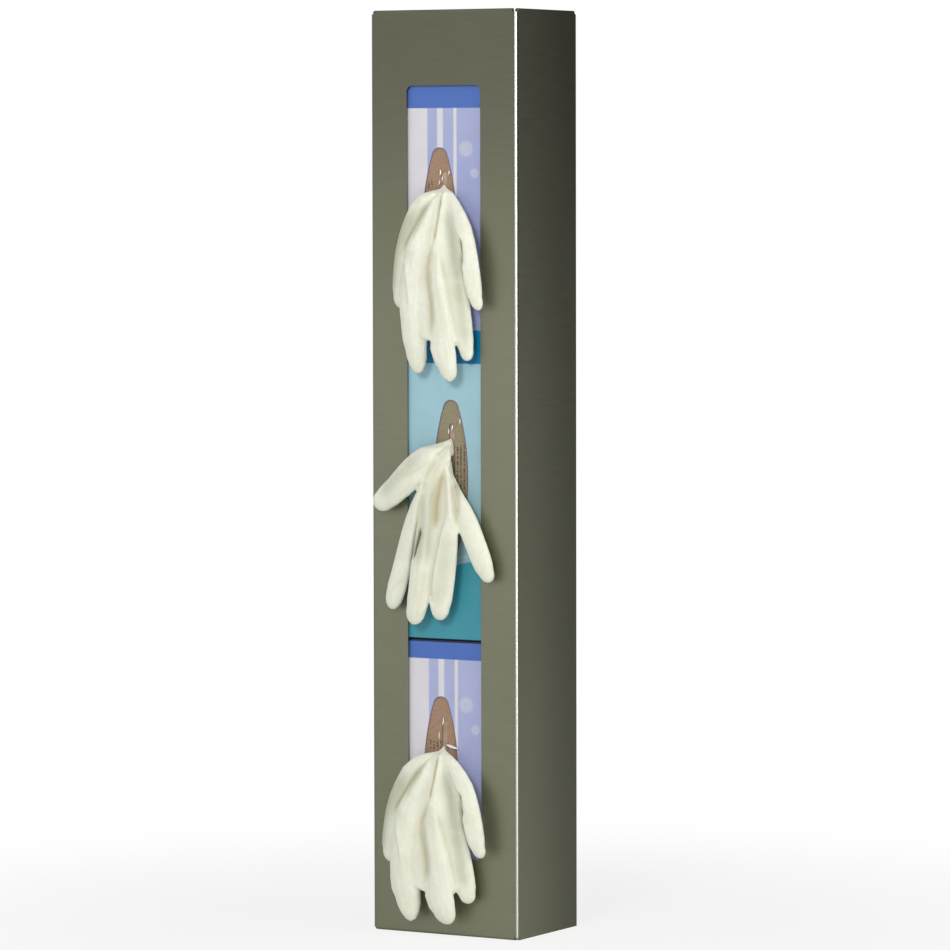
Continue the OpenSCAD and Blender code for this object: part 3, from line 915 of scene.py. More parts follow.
def run_tree(tree, mesh, **values):
    """The plain mesh that a Geometry Nodes tree makes of a mesh."""
    carrier = new_object(tree.name + " carrier", mesh)
    modifier = carrier.modifiers.new(tree.name, "NODES")
    modifier.node_group = tree
    for title, value in values.items():
        set_input(modifier, tree, title.replace("_", " "), value)
    return finished_mesh(carrier)


def geometry_tree(name, inputs):
    """An empty Geometry Nodes tree with a geometry input, the inputs given, and an output."""
    tree = bpy.data.node_groups.new(name, "GeometryNodeTree")
    tree.interface.new_socket("Geometry", in_out="INPUT", socket_type="NodeSocketGeometry")
    for title, kind, default in inputs:
        socket = tree.interface.new_socket(title, in_out="INPUT", socket_type=kind)
        if default is not None:
            socket.default_value = default
    tree.interface.new_socket("Geometry", in_out="OUTPUT", socket_type="NodeSocketGeometry")
    return tree, tree.nodes.new("NodeGroupInput").outputs, tree.nodes.new("NodeGroupOutput").inputs


def end_tree(tree, instances, material, put):
    """Ends a tree: the instances are made real and get their material."""
    real = node(tree, "GeometryNodeRealizeInstances", Geometry=instances)
    dressed = node(tree, "GeometryNodeSetMaterial", Geometry=real.outputs[0], Material=material)
    tree.links.new(dressed.outputs[0], put[0])


def weld_row_mesh(settings):
    """Two rows of spot welds up the back plate, over the housing's rear flanges."""
    tree, given, put = geometry_tree("Spot welds", [
        ("Pitch", "NodeSocketFloat", 0.06), ("Count", "NodeSocketInt", 12),
        ("Radius", "NodeSocketFloat", 0.0026), ("Foot", "NodeSocketVector", None),
        ("Material", "NodeSocketMaterial", None)])
    rows = node(tree, "GeometryNodeJoinGeometry")
    step = node(tree, "ShaderNodeCombineXYZ", Z=given["Pitch"])
    for side in (1, -1):
        foot = vector_maths(tree, "MULTIPLY", given["Foot"], (side, 1, 1))[0]
        row = node(tree, "GeometryNodeMeshLine", Count=given["Count"], Start_Location=foot,
                   Offset=step.outputs[0])
        tree.links.new(row.outputs[0], rows.inputs[0])
    dome = node(tree, "GeometryNodeMeshUVSphere", Segments=WELD_SEGMENTS, Rings=WELD_RINGS,
                Radius=given["Radius"])
    flat = node(tree, "GeometryNodeTransform", Geometry=dome.outputs[0],
                Scale=(1, WELD_FLATNESS, 1))
    marks = node(tree, "GeometryNodeInstanceOnPoints", Points=rows.outputs[0],
                 Instance=flat.outputs[0])
    end_tree(tree, marks.outputs[0], given["Material"], put)
    height = PLATE_HIGH.z - PLATE_LOW.z - 2 * WELD_END
    count = int(height / settings.weld_pitch) + 1
    foot = Vector((HOUSING_HIGH.x - settings.weld_inset, PLATE_HIGH.y,
                   PLATE_LOW.z + WELD_END + (height - (count - 1) * settings.weld_pitch) / 2))
    return run_tree(tree, bpy.data.meshes.new("weld rows"), Pitch=settings.weld_pitch,
                    Count=count, Radius=settings.weld_radius, Foot=foot, Material=mottled("weld_marks"))


def outlet_line(level):
    """Closed line along an outlet's edge, in the middle of the carton's board."""
    board_y = carton_box(level)[0].y + BOARD_T / 2
    middle = liner_middle(level)
    turn = math.atan2(END_Z, FLANK_X)
    arcs = ((-FLANK_X, 0, FLANK_R, -turn, turn, FLANK_STEPS),
            (0, END_Z, END_R, turn, math.pi - turn, END_STEPS),
            (FLANK_X, 0, FLANK_R, math.pi - turn, math.pi + turn, FLANK_STEPS),
            (0, -END_Z, END_R, math.pi + turn, math.tau - turn, END_STEPS))
    points = []
    for x, z, radius, start, end, steps in arcs:
        for step in range(steps):
            angle = start + (end - start) * step / steps
            points.append((middle.x + x + radius * math.cos(angle), board_y,
                           middle.z + z + radius * math.sin(angle)))
    mesh = bpy.data.meshes.new("outlet line " + level)
    count = len(points)
    mesh.from_pydata(points, [(i, (i + 1) % count) for i in range(count)], [])
    return mesh


def torn_edge_tree():
    """Small torn nubs of board along a line, where the perforation let go."""
    tree, given, put = geometry_tree("Torn edge", [
        ("Pitch", "NodeSocketFloat", 0.004), ("Seed", "NodeSocketInt", 0),
        ("Material", "NodeSocketMaterial", None)])
    curve = node(tree, "GeometryNodeMeshToCurve")
    tree.links.new(given["Geometry"], curve.inputs[0])
    spaced = node(tree, "GeometryNodeResampleCurve", mode="LENGTH", Curve=curve.outputs[0],
                  Length=given["Pitch"])
    tangent = node(tree, "GeometryNodeInputTangent")
    turned = node(tree, "FunctionNodeAlignRotationToVector", axis="X",
                  Vector=tangent.outputs[0])
    nub = node(tree, "GeometryNodeMeshIcoSphere", Radius=NUB_R, Subdivisions=2)
    size = node(tree, "FunctionNodeRandomValue", data_type="FLOAT_VECTOR", Seed=given["Seed"])
    for socket, scale in zip(size.inputs, NUB_SCALES):
        socket.default_value = scale
    marks = node(tree, "GeometryNodeInstanceOnPoints", Points=spaced.outputs[0],
                 Instance=nub.outputs[0], Rotation=turned.outputs[0], Scale=size.outputs[0])
    end_tree(tree, marks.outputs[0], given["Material"], put)
    return tree


def end_flaps(thickness):
    """The two outer end flaps of the upper carton, a little sprung where they meet."""
    low, high = carton_box("upper")
    middle = (low + high) / 2
    half_d = (high.y - low.y) / 2 - FLAP_INSET
    half_w = (high.x - low.x) / 2 - FLAP_INSET
    shell = bmesh.new()
    for side, spring in FLAP_SPRINGS:
        rows = []
        for i in range(FLAP_STEPS + 1):
            share = i / FLAP_STEPS
            y = middle.y + side * (half_d - (half_d - FLAP_GAP / 2) * share)
            lift = FLAP_SPRING * spring * share ** 2
            row = []
            for j in range(FLAP_STEPS + 1):
                across = 2 * j / FLAP_STEPS - 1
                z = high.z + lift * (1 - FLAP_CROWN * across ** 2)
                row.append(shell.verts.new((middle.x + half_w * across, y, z)))
            rows.append(row)
        fill_rows(shell, rows)
    return thickened(shell, "carton_end_flaps", Vector((0, 0, 1)), thickness, 1)


def film_slivers(level):
    """Thin curled slivers of film that stand off a liner beside its slit."""
    middle = liner_middle(level)
    shell = bmesh.new()
    for line, width, curl in SLIVERS[level]:
        spine = smooth_line(line, SLIVER_STEPS)
        last = len(spine) - 1
        rows = []
        for i, point in enumerate(spine):
            share = i / last
            run = spine[min(i + 1, last)] - spine[max(i - 1, 0)]
            across = np.array((-run[1], run[0])) / np.linalg.norm(run)
            half = width / 2 * (1 - SLIVER_TAPER * abs(2 * share - 1) ** SLIVER_POINT)
            row = []
            for rail in SLIVER_RAILS:
                x, z = point + across * half * rail
                out = SLIVER_STAND + curl * (SLIVER_RISE * share + (1 - SLIVER_RISE) * rail ** 2)
                row.append(shell.verts.new((middle.x + x * MM, middle.y - out * MM,
                                            middle.z + z * MM)))
            rows.append(row)
        fill_rows(shell, rows)
    for face in shell.faces:
        face.smooth = True
    return thickened(shell, "torn_film_" + level, Vector((0, -1, 0)), FILM_T, 0)


# ---------------------------------------------------------------- stage

# Where the camera stands, and its right, up and forward directions
CAMERA_PLACE = Vector((2.23058, -3.81552, 0.63480))
CAMERA_RIGHT = Vector((0.8633281, 0.5046388, -0.0020616))
CAMERA_UP = Vector((-0.0275034, 0.0511308, 0.9983132))
CAMERA_AHEAD = Vector((-0.5038930, 0.8618151, -0.0580219))

# Lamps: what they face, and whether they light matt surfaces and show in shiny ones
Lamp = namedtuple("Lamp", "name place target width height power matt shiny")
LAMPS = (
    Lamp("key_softbox", (0.7, -3.3, 1.7), (0, 0, 0.42), 0.9, 0.9, 49, True, True),
    Lamp("bend_strip", (2.9, -0.8, 1.3), (0.07, -0.05, 0.55), 1.6, 2.4, 110, False, True),
    Lamp("flank_fill", (3.0, -0.6, 0.7), (0, -0.06, 0.4), 0.6, 1.2, 20, True, False),
)


def add_camera(lens):
    camera = bpy.data.cameras.new("camera")
    camera.lens = lens
    camera.sensor_width = SENSOR_W
    camera.sensor_fit = "HORIZONTAL"
    camera.clip_end = SIGHT
    holder = new_object("camera", camera)
    turn = Matrix((CAMERA_RIGHT, CAMERA_UP, -CAMERA_AHEAD)).transposed().to_4x4()
    holder.matrix_world = Matrix.Translation(CAMERA_PLACE) @ turn
    bpy.context.scene.camera = holder


def add_floor(reach):
    """A pale floor that fades into the white backdrop, but keeps the dispenser's shadow."""
    shell = bmesh.new()
    bmesh.ops.create_circle(shell, cap_ends=True, radius=reach, segments=FLOOR_SIDES)
    floor = new_object("floor", mesh_of(shell, "floor"))
    material, tree, shader = new_material("pale_floor")
    vector = place_of(tree)[0]
    clouds = noise(tree, vector, FLOOR_CLOUD_TURNS)
    plug(tree, shader.inputs["Base Color"], blend(tree, clouds, *FLOOR_COLOURS))
    set_inputs(shader, FLOOR_INPUTS)
    glow = node(tree, "ShaderNodeEmission")
    mixed = node(tree, "ShaderNodeMixShader")
    fade = ramp(tree, length_of(tree, vector), *FADE_REACH, *FADE_SHARES)
    factor = times(tree, fade, seen_ray(tree))
    for socket, source in zip(mixed.inputs, (factor, shader.outputs[0], glow.outputs[0])):
        tree.links.new(source, socket)
    tree.links.new(mixed.outputs[0], tree.nodes["Material Output"].inputs["Surface"])
    floor.data.materials.append(material)


def seen_ray(tree):
    """1 on rays that see the backdrop itself: from the camera, or through something clear."""
    path = node(tree, "ShaderNodeLightPath")
    return maths(tree, "ADD", path.outputs["Is Camera Ray"], path.outputs["Is Transmission Ray"],
                 clamp=True)


def add_world():
    """Even light, a white backdrop, and a studio that reflects paler in front than behind."""
    world = bpy.data.worlds.new("studio")
    world.use_nodes = True
    bpy.context.scene.world = world
    tree = world.node_tree
    background = tree.nodes["Background"]
    glossy = node(tree, "ShaderNodeLightPath").outputs["Is Glossy Ray"]
    direction = node(tree, "ShaderNodeTexCoord").outputs["Generated"]
    parts = []
    for side, levels in ((BRIGHT_SIDE, DIFFUSE_LEVELS), (PALE_SIDE, MIRROR_LEVELS)):
        toward = vector_maths(tree, "DOT_PRODUCT", direction, side)["Value"]
        parts.append(ramp(tree, toward, -SIDE_SOFT, SIDE_SOFT, *levels))
    lit = blend_value(tree, glossy, *parts)
    plug(tree, background.inputs["Strength"], blend_value(tree, seen_ray(tree), lit, 1.0))
    background.inputs["Color"].default_value = (1, 1, 1, 1)


def add_lamp(lamp):
    """A soft box that faces its target."""
    light = bpy.data.lights.new(lamp.name, "AREA")
    light.shape = "RECTANGLE"
    light.size = lamp.width
    light.size_y = lamp.height
    light.energy = lamp.power
    holder = new_object(lamp.name, light)
    aim = Vector(lamp.target) - Vector(lamp.place)
    holder.rotation_euler = aim.to_track_quat("-Z", "Y").to_euler()
    holder.location = lamp.place
    holder.visible_diffuse = lamp.matt
    holder.visible_glossy = lamp.shiny


# ---------------------------------------------------------------- gloves

# A fold of a hanging glove. Its points are millimetres right of the outlet's middle and
# above it, from one end to the other. A ridge stands out and a valley lies in by the depth,
# and a valley is painted tan inside as shade. A step lifts the skin on one side: on the right
# where the points run down, and its lower side is painted tan as shade. A gap is a valley with
# a dark painted shadow inside, and a shade only greys the skin as painted shade, by its depth
# as a share.
Fold = namedtuple("Fold", "kind depth width points")

FOLDS_UPPER = (
    # Edge of the second finger's layer over the first, and the fold inside it
    Fold("step", 3.0, 9, ((6.5, 27.5), (0.5, 19.5), (-3.5, 12), (-8.5, 3.5), (-12.5, -4),
                          (-16.5, -11.5), (-21.5, -19.5), (-24.5, -28))),
    Fold("valley", 1.0, 1.8, ((2.5, 25), (-1, 14), (-6, 3.5), (-10, -4), (-14, -13))),
    Fold("step", 1.2, 4, ((-23.5, -20), (-19.5, -37.5), (-17, -54), (-15.5, -70))),
    # Crease between the second and third fingers, up to the peak
    Fold("valley", 3.0, 1.0, ((8, 30), (9.5, 18.5), (10, 8.5), (9.5, 1), (8.5, -7), (6, -19))),
    Fold("valley", 2.2, 2.6, ((7.5, -8), (4.5, -21.5), (1.5, -31), (1, -44), (3.5, -60),
                              (4.5, -75.5), (2, -96))),
    Fold("ridge", 2.0, 1.8, ((15, 37), (11, 25.5), (11.8, 15.5), (11.7, 7.5), (10.8, -1.5),
                             (8.5, -15))),
    Fold("ridge", 0.6, 2.5, ((14.5, 8), (16.5, -9.5), (18, -26))),
    Fold("valley", 0.7, 2.2, ((20, 4), (23, -17), (22.5, -36))),
    # Edge of the third finger over the fourth
    Fold("step", 2.2, 6, ((27, -106), (25.5, -88), (22.5, -71), (19.5, -55), (17.5, -45),
                          (15, -32.5), (11, -17))),
    Fold("valley", 0.6, 3.0, ((26, -35), (29, -60), (34, -84))),
    # The fifth finger, and the gap where it parts from the fourth
    Fold("gap", 5.0, 1.1, ((30, -8), (31.2, -13), (32, -20), (32.5, -27), (32.8, -35))),
    Fold("step", 1.6, 6, ((22, 4), (28, -6), (31.5, -14), (32.5, -26), (33.5, -38), (36, -50),
                          (40, -64))),
    Fold("ridge", 0.9, 4.0, ((-16, 10), (-24, -4), (-29, -26.5), (-31, -52))),
    # Parts that lie turned away from the light
    Fold("shade", 0.80, 8.0, ((-8, 19), (-22, -1), (-31, -22), (-36, -42), (-37, -66))),
    Fold("shade", 0.85, 3.5, ((3, 21), (-6, 9), (-14, -3.5), (-19.5, -13), (-26, -26))),
    Fold("shade", 0.65, 5.0, ((15, 20), (19, 2), (23, -16), (25, -34), (28, -56))),
    Fold("shade", 0.50, 5.0, ((25, -36), (28, -60), (31, -80), (36, -102))),
    Fold("shade", 0.45, 2.4, ((5, -30), (5, -48), (7, -66), (8, -90))),
)

FOLDS_MIDDLE = (
    # Edge of the thumb over the palm, and the crease that runs into it
    Fold("step", 2.4, 9, ((-18, -18), (-16.5, -8.5), (-13.5, -0.5), (-9.5, 7), (-5.5, 13), (-2, 18),
                          (1, 23), (3, 29))),
    Fold("valley", 1.5, 1.0, ((2.8, 28), (1, 23.5), (-1.5, 20), (-4, 17))),
    Fold("valley", 0.7, 2.4, ((-2, 18), (-10.5, 11.5), (-20.5, 6.5), (-36, -1))),
    Fold("ridge", 1.0, 4.0, ((-13, 1), (-25, -5), (-37.5, -11), (-54, -19))),
    Fold("valley", 1.4, 0.8, ((7.2, 16), (6.5, 14), (4.5, 11))),
    # Rolled edge of the palm over the fifth finger
    Fold("step", 1.8, 5, ((16, -46), (15, -32), (14, -22.5), (12.5, -9.5), (10, 1), (8.5, 11.5),
                          (3, 22))),
    Fold("ridge", 0.7, 2.2, ((14, -44), (12.8, -31), (12, -22), (10.5, -10), (8, 1), (6.5, 12))),
    Fold("valley", 2.2, 0.9, ((11.2, 2), (12.8, -8), (14.4, -19), (15.2, -30), (16.2, -42))),
    Fold("shade", 0.70, 2.0, ((12.5, 2), (14.8, -8), (16.4, -19), (17.2, -34))),
    # Hollow of the palm, and the layers on both sides of the third finger
    Fold("valley", 3.0, 4.0, ((4, 11), (1, -2), (-0.5, -13), (-2, -28), (-3, -46))),
    Fold("step", 2.4, 7, ((11, -17), (8, -29), (4.5, -42), (0, -59), (-3.5, -74.5), (-6, -90.5),
                          (-9, -106))),
    Fold("step", 2.2, 6, ((-32, -80), (-29, -65), (-27, -54), (-24, -42), (-21.5, -31),
                          (-18.5, -19), (-13, -5))),
    Fold("gap", 5.0, 1.7, ((-14, -39), (-16.5, -43.5), (-19, -51), (-22, -59), (-25.5, -70))),
    # Creases near the fingertips
    Fold("step", 1.5, 5, ((-7, -99), (-13.5, -105.5), (-17.5, -108.5), (-22.5, -113))),
    Fold("valley", 0.6, 1.2, ((-49, -93), (-41, -88), (-33, -85.5))),
    Fold("valley", 0.6, 3.0, ((-10, -72), (-16.5, -96), (-22, -113))),
    # Parts that lie turned away from the light
    Fold("shade", 0.50, 6.0, ((-12, 22), (-28, 9), (-44, -6), (-58, -18))),
    Fold("shade", 0.50, 5.0, ((-16, -6), (-14, -22), (-13, -38), (-15, -54), (-20, -78))),
    Fold("shade", 0.60, 4.0, ((-1, 3), (-4, -14), (-5, -32), (-7, -52), (-10, -76))),
    Fold("shade", 0.35, 8.0, ((10, -38), (7, -60), (3, -85), (0, -108))),
)

FOLDS = {"upper": FOLDS_UPPER, "middle": FOLDS_MIDDLE}

# The lower glove hangs like the upper one, but spread wider, shorter and leaning
LOWER_SPREAD = 1.16
LOWER_DROP = 0.916
LOWER_SKEW = 0.177
LOWER_SHIFT = (-5.7, -8.5)

# Shape of every fold: the share of its line over which it fades out, the share of its
# width that its ends keep, the radius at the bottom of a crease, and the depth at which a
# crease's painted tan shade is full. A step's edge has its blur, and its lower side the reach
# and share of painted tan shade. A gap's painted shadow follows its hollow to the last power.
FOLD_END = 0.24
END_WIDTH = 0.4
CREASE_R = 0.3
FULL_SHADE_DEPTH = 3.0
STEP_BLUR = 0.5
STEP_SHADE_REACH = 0.35
STEP_SHADE = 0.75
GAP_SHADOW_CURVE = 1.5

# Where the skin takes folds: as it turns to the front, and comes free of the housing, in
# millimetres. The painted shade tones reach a little further round than the folds.
FRONT_TURN = (-0.1, 0.5)
TONE_TURN = (-0.6, 0.0)
FREE_OUT = (-1.0, 3.0)
PAINTED_SHADE_TONES = ("crease", "gap", "shade")

# Pulls on the solid before it is remeshed, which open it between the fingers: the place
# from the outlet's middle, the reach across and up, and how far the skin moves
Pull = namedtuple("Pull", "x z reach_x reach_z by")
PULLS = {
    "lower": (
        Pull(-19, -119, 9, 6, (0, -2.2)),
        Pull(17, -120, 9, 6, (0, -0.8)),
        Pull(-4, -97, 5, 8, (0, 7.0)),
        Pull(6, -111, 8, 13, (-3.0, 0)),
        Pull(-4, -101, 6, 7, (-4.4, 0)),
        Pull(-13, -101, 4, 8, (1.6, 0)),
        Pull(-36, -96, 9, 22, (-3.6, 0)),
        Pull(38, -88, 7, 17, (1.5, 0)),
        Pull(-42, -2, 10, 16, (2.6, -1.5)),
    ),
    "middle": (
        Pull(-8, -104, 5, 5, (0, 3.0)),
        Pull(11, 7, 5, 8, (-3.6, 0)),
    ),
    "upper": (
        Pull(2, -97, 5, 8, (0, 7.0)),
        Pull(8, -103, 5, 7, (-3.0, 0)),
        Pull(26, -100, 5, 5, (0, 2.0)),
        Pull(-31, 4, 9, 14, (2.2, -1.0)),
    ),
}

# Wrinkles: their size across the glove, their depth, and the share of turns down the glove
WRINKLE_SIZES = ((17, 0.45, 0.55), (6.5, 0.26, 0.45), (2.8, 0.11, 0.6))

# Points of the solid that are merged before its remesh, and the smoothing after it
MERGE_REACH = 0.001 * MM
SMOOTH_SHARE = 0.5
SMOOTH_ROUNDS = 4


def folds_of(level):
    """The folds of a glove. The lower glove's are the upper one's, spread and leaning."""
    if level != "lower":
        return FOLDS[level]
    return [fold._replace(points=[
        (LOWER_SPREAD * x + LOWER_SHIFT[0], LOWER_DROP * z + LOWER_SKEW * x + LOWER_SHIFT[1])
        for x, z in fold.points]) for fold in FOLDS["upper"]]


def smooth_line(points, steps=6):
    """Points along the smooth curve through the points given."""
    points = [np.array(point, float) for point in points]
    ends = [2 * points[0] - points[1], *points, 2 * points[-1] - points[-2]]
    line = []
    for a, b, c, d in zip(ends, ends[1:], ends[2:], ends[3:]):
        for step in range(steps):
            t = step / steps
            line.append(0.5 * (2 * b + (c - a) * t + (2 * a - 5 * b + 4 * c - d) * t ** 2
                               + (3 * b - a - 3 * c + d) * t ** 3))
    return line + [points[-1]]


def beside_line(flat, points):
    """For each flat point: its distance from a line, its side of it, and its share along it."""
    line = smooth_line(points)
    total = sum(np.linalg.norm(end - start) for start, end in zip(line, line[1:]))
    distance = np.full(len(flat), np.inf)
    side = np.zeros(len(flat))
    share = np.zeros(len(flat))
    walked = 0.0
    for start, end in zip(line, line[1:]):
        run = end - start
        length = np.linalg.norm(run)
        along = np.clip((flat - start) @ run / length ** 2, 0, 1)
        offset = flat - (start + along[:, None] * run)
        away = np.hypot(offset[:, 0], offset[:, 1])
        nearer = away < distance
        distance[nearer] = away[nearer]
        side[nearer] = (run[0] * offset[:, 1] - run[1] * offset[:, 0])[nearer] / length
        share[nearer] = ((walked + along * length) / total)[nearer]
        walked += length
    return distance, side, share


def ease(value, low, high):
    """0 at low and 1 at high, eased between them."""
    t = np.clip((value - low) / (high - low), 0, 1)
    return t * t * (3 - 2 * t)


def fold_effect(fold, flat):
    """How far a fold lifts each flat point, and how much painted tan shade, dark painted shadow and
    grey painted shade it puts on the skin.
    """
    distance, side, share = beside_line(flat, fold.points)
    fade = ease(share, 0, FOLD_END) * ease(1 - share, 0, FOLD_END)
    width = fold.width * (END_WIDTH + (1 - END_WIDTH) * fade)
    shade_share = min(1, fold.depth / FULL_SHADE_DEPTH)
    none = np.zeros(len(flat))
    spread = np.exp(-(distance / width) ** 2) * fade
    if fold.kind == "shade":
        return none, none, none, fold.depth * spread
    if fold.kind == "ridge":
        return fold.depth * spread, none, none, none
    if fold.kind == "step":
        raised = 0.5 + 0.5 * np.tanh(side / STEP_BLUR)
        lower = (1 - raised) * np.exp(-distance / (STEP_SHADE_REACH * width)) * fade
        return fold.depth * spread * raised, STEP_SHADE * shade_share * lower, none, none
    rounded = np.sqrt(distance ** 2 + CREASE_R ** 2) - CREASE_R
    hollow = np.exp(-rounded / width) * fade
    dark = hollow ** GAP_SHADOW_CURVE * shade_share if fold.kind == "gap" else none
    return -fold.depth * hollow, hollow * shade_share, dark, none


def wrinkles(points, seed):
    """Small uneven lifts of the skin, longer down the glove than across it."""
    lift = np.zeros(len(points))
    for size, depth, stretch in WRINKLE_SIZES:
        scale = Vector((1 / size, 1 / size, stretch / size))
        lift += depth * np.array([noise_at(Vector(point) * scale + seed) for point in points])
    return lift


def pulled_solid(level):
    """The glove's solid, with its skin pulled a little open between the fingers."""
    source = bmesh.new()
    source.from_mesh(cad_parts["glove_" + level].data)
    bmesh.ops.remove_doubles(source, verts=source.verts, dist=MERGE_REACH)
    bmesh.ops.recalc_face_normals(source, faces=source.faces)
    middle = liner_middle(level)
    for pull in PULLS[level]:
        for vertex in source.verts:
            across = ((vertex.co.x - middle.x) / MM - pull.x) / pull.reach_x
            up = ((vertex.co.z - middle.z) / MM - pull.z) / pull.reach_z
            share = math.exp(-across ** 2 - up ** 2)
            vertex.co.x += pull.by[0] * share * MM
            vertex.co.z += pull.by[1] * share * MM
    return mesh_of(source, "glove_" + level)


def glove_mesh(level, grid, fold_scale):
    """The glove's solid, remeshed finely and folded like thin latex."""
    carrier = new_object("glove_carrier", pulled_solid(level))
    remesh = carrier.modifiers.new("remesh", "REMESH")
    remesh.mode = "VOXEL"
    remesh.voxel_size = grid
    smooth = carrier.modifiers.new("smooth", "SMOOTH")
    smooth.factor = SMOOTH_SHARE
    smooth.iterations = SMOOTH_ROUNDS
    mesh = finished_mesh(carrier)
    fold_mesh(mesh, level, fold_scale)
    return mesh


def vectors_of(mesh, title):
    """The places or normals of a mesh's points, one row each."""
    rows = np.empty(len(mesh.vertices) * 3)
    mesh.vertices.foreach_get(title, rows)
    return rows.reshape(-1, 3)


def fold_mesh(mesh, level, fold_scale):
    """Presses the folds and wrinkles into the glove's front, and marks where its painted shade goes."""
    place = vectors_of(mesh, "co")
    facing = -vectors_of(mesh, "normal")[:, 1]
    middle = liner_middle(level)
    flat = (place[:, [0, 2]] - np.array((middle.x, middle.z))) / MM
    slit_x, peak_z = PEAKS[level]
    drop = (peak_z + PEAK_RISE - flat[:, 1]) / PEAK_DROP
    spread = np.clip(drop, PEAK_SHARE, 1) ** PEAK_CURVE
    flat[:, 0] = slit_x + (flat[:, 0] - slit_x) * spread
    back_y = np.minimum(place[:, 1], middle.y)
    place[:, 0] = middle.x + flat[:, 0] * MM
    place[:, 1] += (back_y - middle.y) * (spread - 1)
    out = (FRONT_Y - place[:, 1]) / MM
    shape = np.column_stack((flat[:, 0], out, flat[:, 1]))
    lift = wrinkles(shape, GLOVE_SEEDS[level])
    shade_tones = np.zeros((len(PAINTED_SHADE_TONES), len(place)))
    for fold in folds_of(level):
        raised, *made = fold_effect(fold, flat)
        lift += raised
        shade_tones = np.maximum(shade_tones, made)
    taken = ease(facing, *FRONT_TURN) * ease(out, *FREE_OUT)
    place[:, 1] -= lift * taken * fold_scale * MM
    mesh.vertices.foreach_set("co", place.ravel())
    for title, tone in zip(PAINTED_SHADE_TONES, shade_tones):
        attribute = mesh.attributes.new(title, "FLOAT", "POINT")
        attribute.data.foreach_set("value", tone * ease(facing, *TONE_TURN))
    mesh.shade_smooth()
    mesh.update()


# ---------------------------------------------------------------- operators


class DISPENSER_OT_steel(bpy.types.Operator):
    """Brushed steel on the folded housing and its back plate, with the plate's spot welds"""
    bl_idname = "dispenser.steel"
    bl_label = "Steel"

    def execute(self, context):
        settings = context.scene.dispenser_steel
        colour = tuple(settings.sheet_color)
        dress("housing", stainless("stainless_sheet", colour, REAR_SHADE))
        plate_colour = [PLATE_LEVEL * value for value in colour]
        dress("back_plate", stainless("stainless_plate", plate_colour, 1.0))
        add_piece(weld_row_mesh(settings), "back_plate_spot_welds")
        return {"FINISHED"}


class DISPENSER_OT_cartons(bpy.types.Operator):
    """Printed board on the three cartons, torn outlet edges, and the upper end flaps"""
    bl_idname = "dispenser.cartons"
    bl_label = "Cartons"

    def execute(self, context):
        settings = context.scene.dispenser_cartons
        boards = {"middle": teal_board(), **{level: striped_board(level) for level in STRIPED}}
        tree = torn_edge_tree()
        for level in LEVELS:
            dress("carton_" + level, boards[level])
            mesh = run_tree(tree, outlet_line(level), Pitch=settings.nub_pitch,
                            Material=boards[level], Seed=LEVELS.index(level))
            add_piece(mesh, "outlet_edge_" + level)
        add_piece(end_flaps(settings.flap_t), "carton_end_flaps", boards["upper"])
        return {"FINISHED"}


class DISPENSER_OT_liners(bpy.types.Operator):
    """Card liners behind the outlets, and the film torn along their slits"""
    bl_idname = "dispenser.liners"
    bl_label = "Liners"

    def execute(self, context):
        # Painted glints: the torn film is given an opaque near-white
        clear = mottled("torn_film")
        for level in LEVELS:
            dress("outlet_liner_" + level, liner_card(level))
            add_piece(film_slivers(level), "torn_film_" + level, clear)
        return {"FINISHED"}


class DISPENSER_OT_gloves(bpy.types.Operator):
    """The hanging gloves, folded from thin latex, and the packs that they come from"""
    bl_idname = "dispenser.gloves"
    bl_label = "Gloves"

    def execute(self, context):
        settings = context.scene.dispenser_gloves
        skin = latex()
        # Painted shade: the packs' latex is darkened to tan
        shaded_packs = mottled("packed_latex")
        for level in LEVELS:
            dress("glove_pack_" + level, shaded_packs)
            mesh = glove_mesh(level, settings.grid, settings.fold_scale)
            piece = add_piece(mesh, "hanging_glove_" + level, skin)
            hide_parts("glove_" + level)
        return {"FINISHED"}


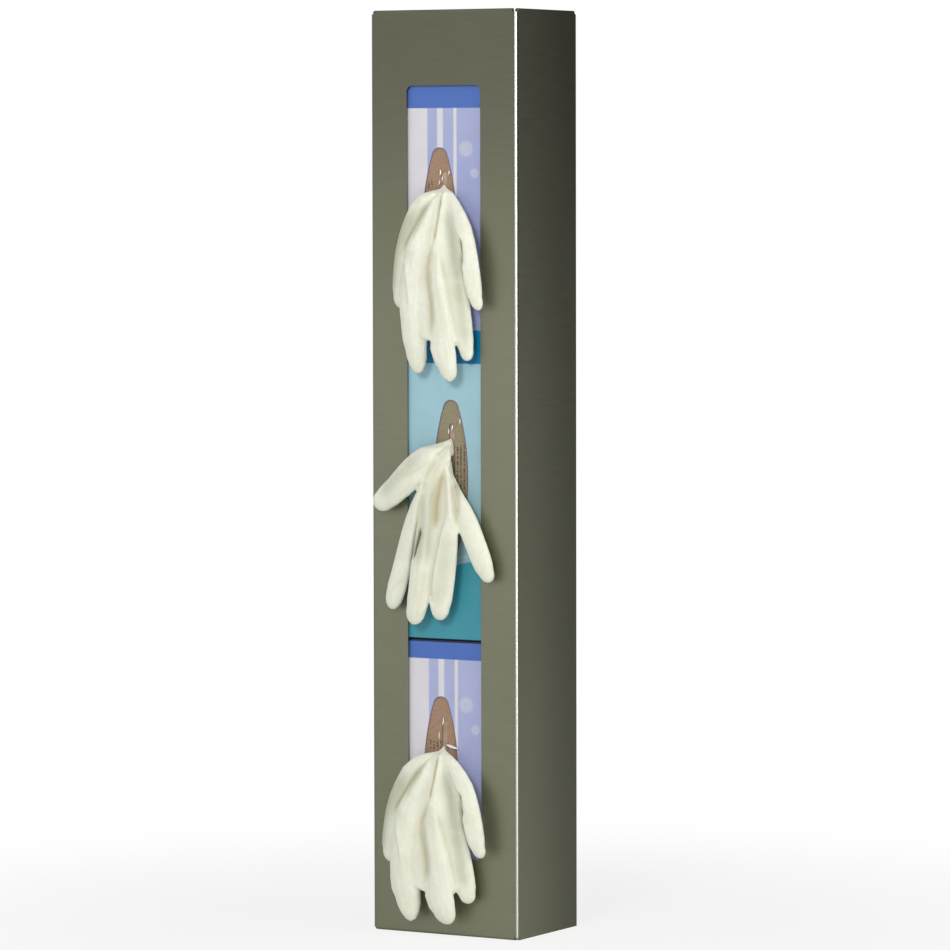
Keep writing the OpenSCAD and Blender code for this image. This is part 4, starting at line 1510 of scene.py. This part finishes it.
class DISPENSER_OT_stage(bpy.types.Operator):
    """Camera, floor, lamps and world around the dispenser"""
    bl_idname = "dispenser.stage"
    bl_label = "Stage"

    def execute(self, context):
        settings = context.scene.dispenser_stage
        context.scene.view_settings.view_transform = "Standard"
        add_camera(settings.lens)
        add_floor(settings.floor_reach)
        add_world()
        for lamp in LAMPS:
            add_lamp(lamp)
        return {"FINISHED"}


class DISPENSER_PT_panel(bpy.types.Panel):
    """The dispenser's settings, and a button for each group of its pieces"""
    bl_label = "Glove Dispenser"
    bl_space_type = "VIEW_3D"
    bl_region_type = "UI"
    bl_category = "Dispenser"

    def draw(self, context):
        layout = self.layout
        for operator, settings in GROUPS:
            layout.operator(operator)
            if settings is None:
                continue
            values = getattr(context.scene, settings)
            for name in values.__annotations__:
                layout.prop(values, name)


SETTINGS = {
    "dispenser_steel": SteelSettings,
    "dispenser_cartons": CartonSettings,
    "dispenser_gloves": GloveSettings,
    "dispenser_stage": StageSettings,
}

OPERATORS = (DISPENSER_OT_steel, DISPENSER_OT_cartons, DISPENSER_OT_liners, DISPENSER_OT_gloves,
             DISPENSER_OT_stage)

GROUPS = (
    ("dispenser.steel", "dispenser_steel"),
    ("dispenser.cartons", "dispenser_cartons"),
    ("dispenser.liners", None),
    ("dispenser.gloves", "dispenser_gloves"),
    ("dispenser.stage", "dispenser_stage"),
)


def register():
    for name, kind in SETTINGS.items():
        bpy.utils.register_class(kind)
        setattr(bpy.types.Scene, name, bpy.props.PointerProperty(type=kind))
    for kind in (*OPERATORS, DISPENSER_PT_panel):
        bpy.utils.register_class(kind)


def unregister():
    for kind in reversed((*OPERATORS, DISPENSER_PT_panel)):
        bpy.utils.unregister_class(kind)
    for name, kind in SETTINGS.items():
        delattr(bpy.types.Scene, name)
        bpy.utils.unregister_class(kind)


def main():
    register()
    build_shared_groups()
    bpy.ops.dispenser.stage()
    bpy.ops.dispenser.steel()
    bpy.ops.dispenser.cartons()
    bpy.ops.dispenser.liners()
    bpy.ops.dispenser.gloves()


if __name__ == "__main__":
    main()
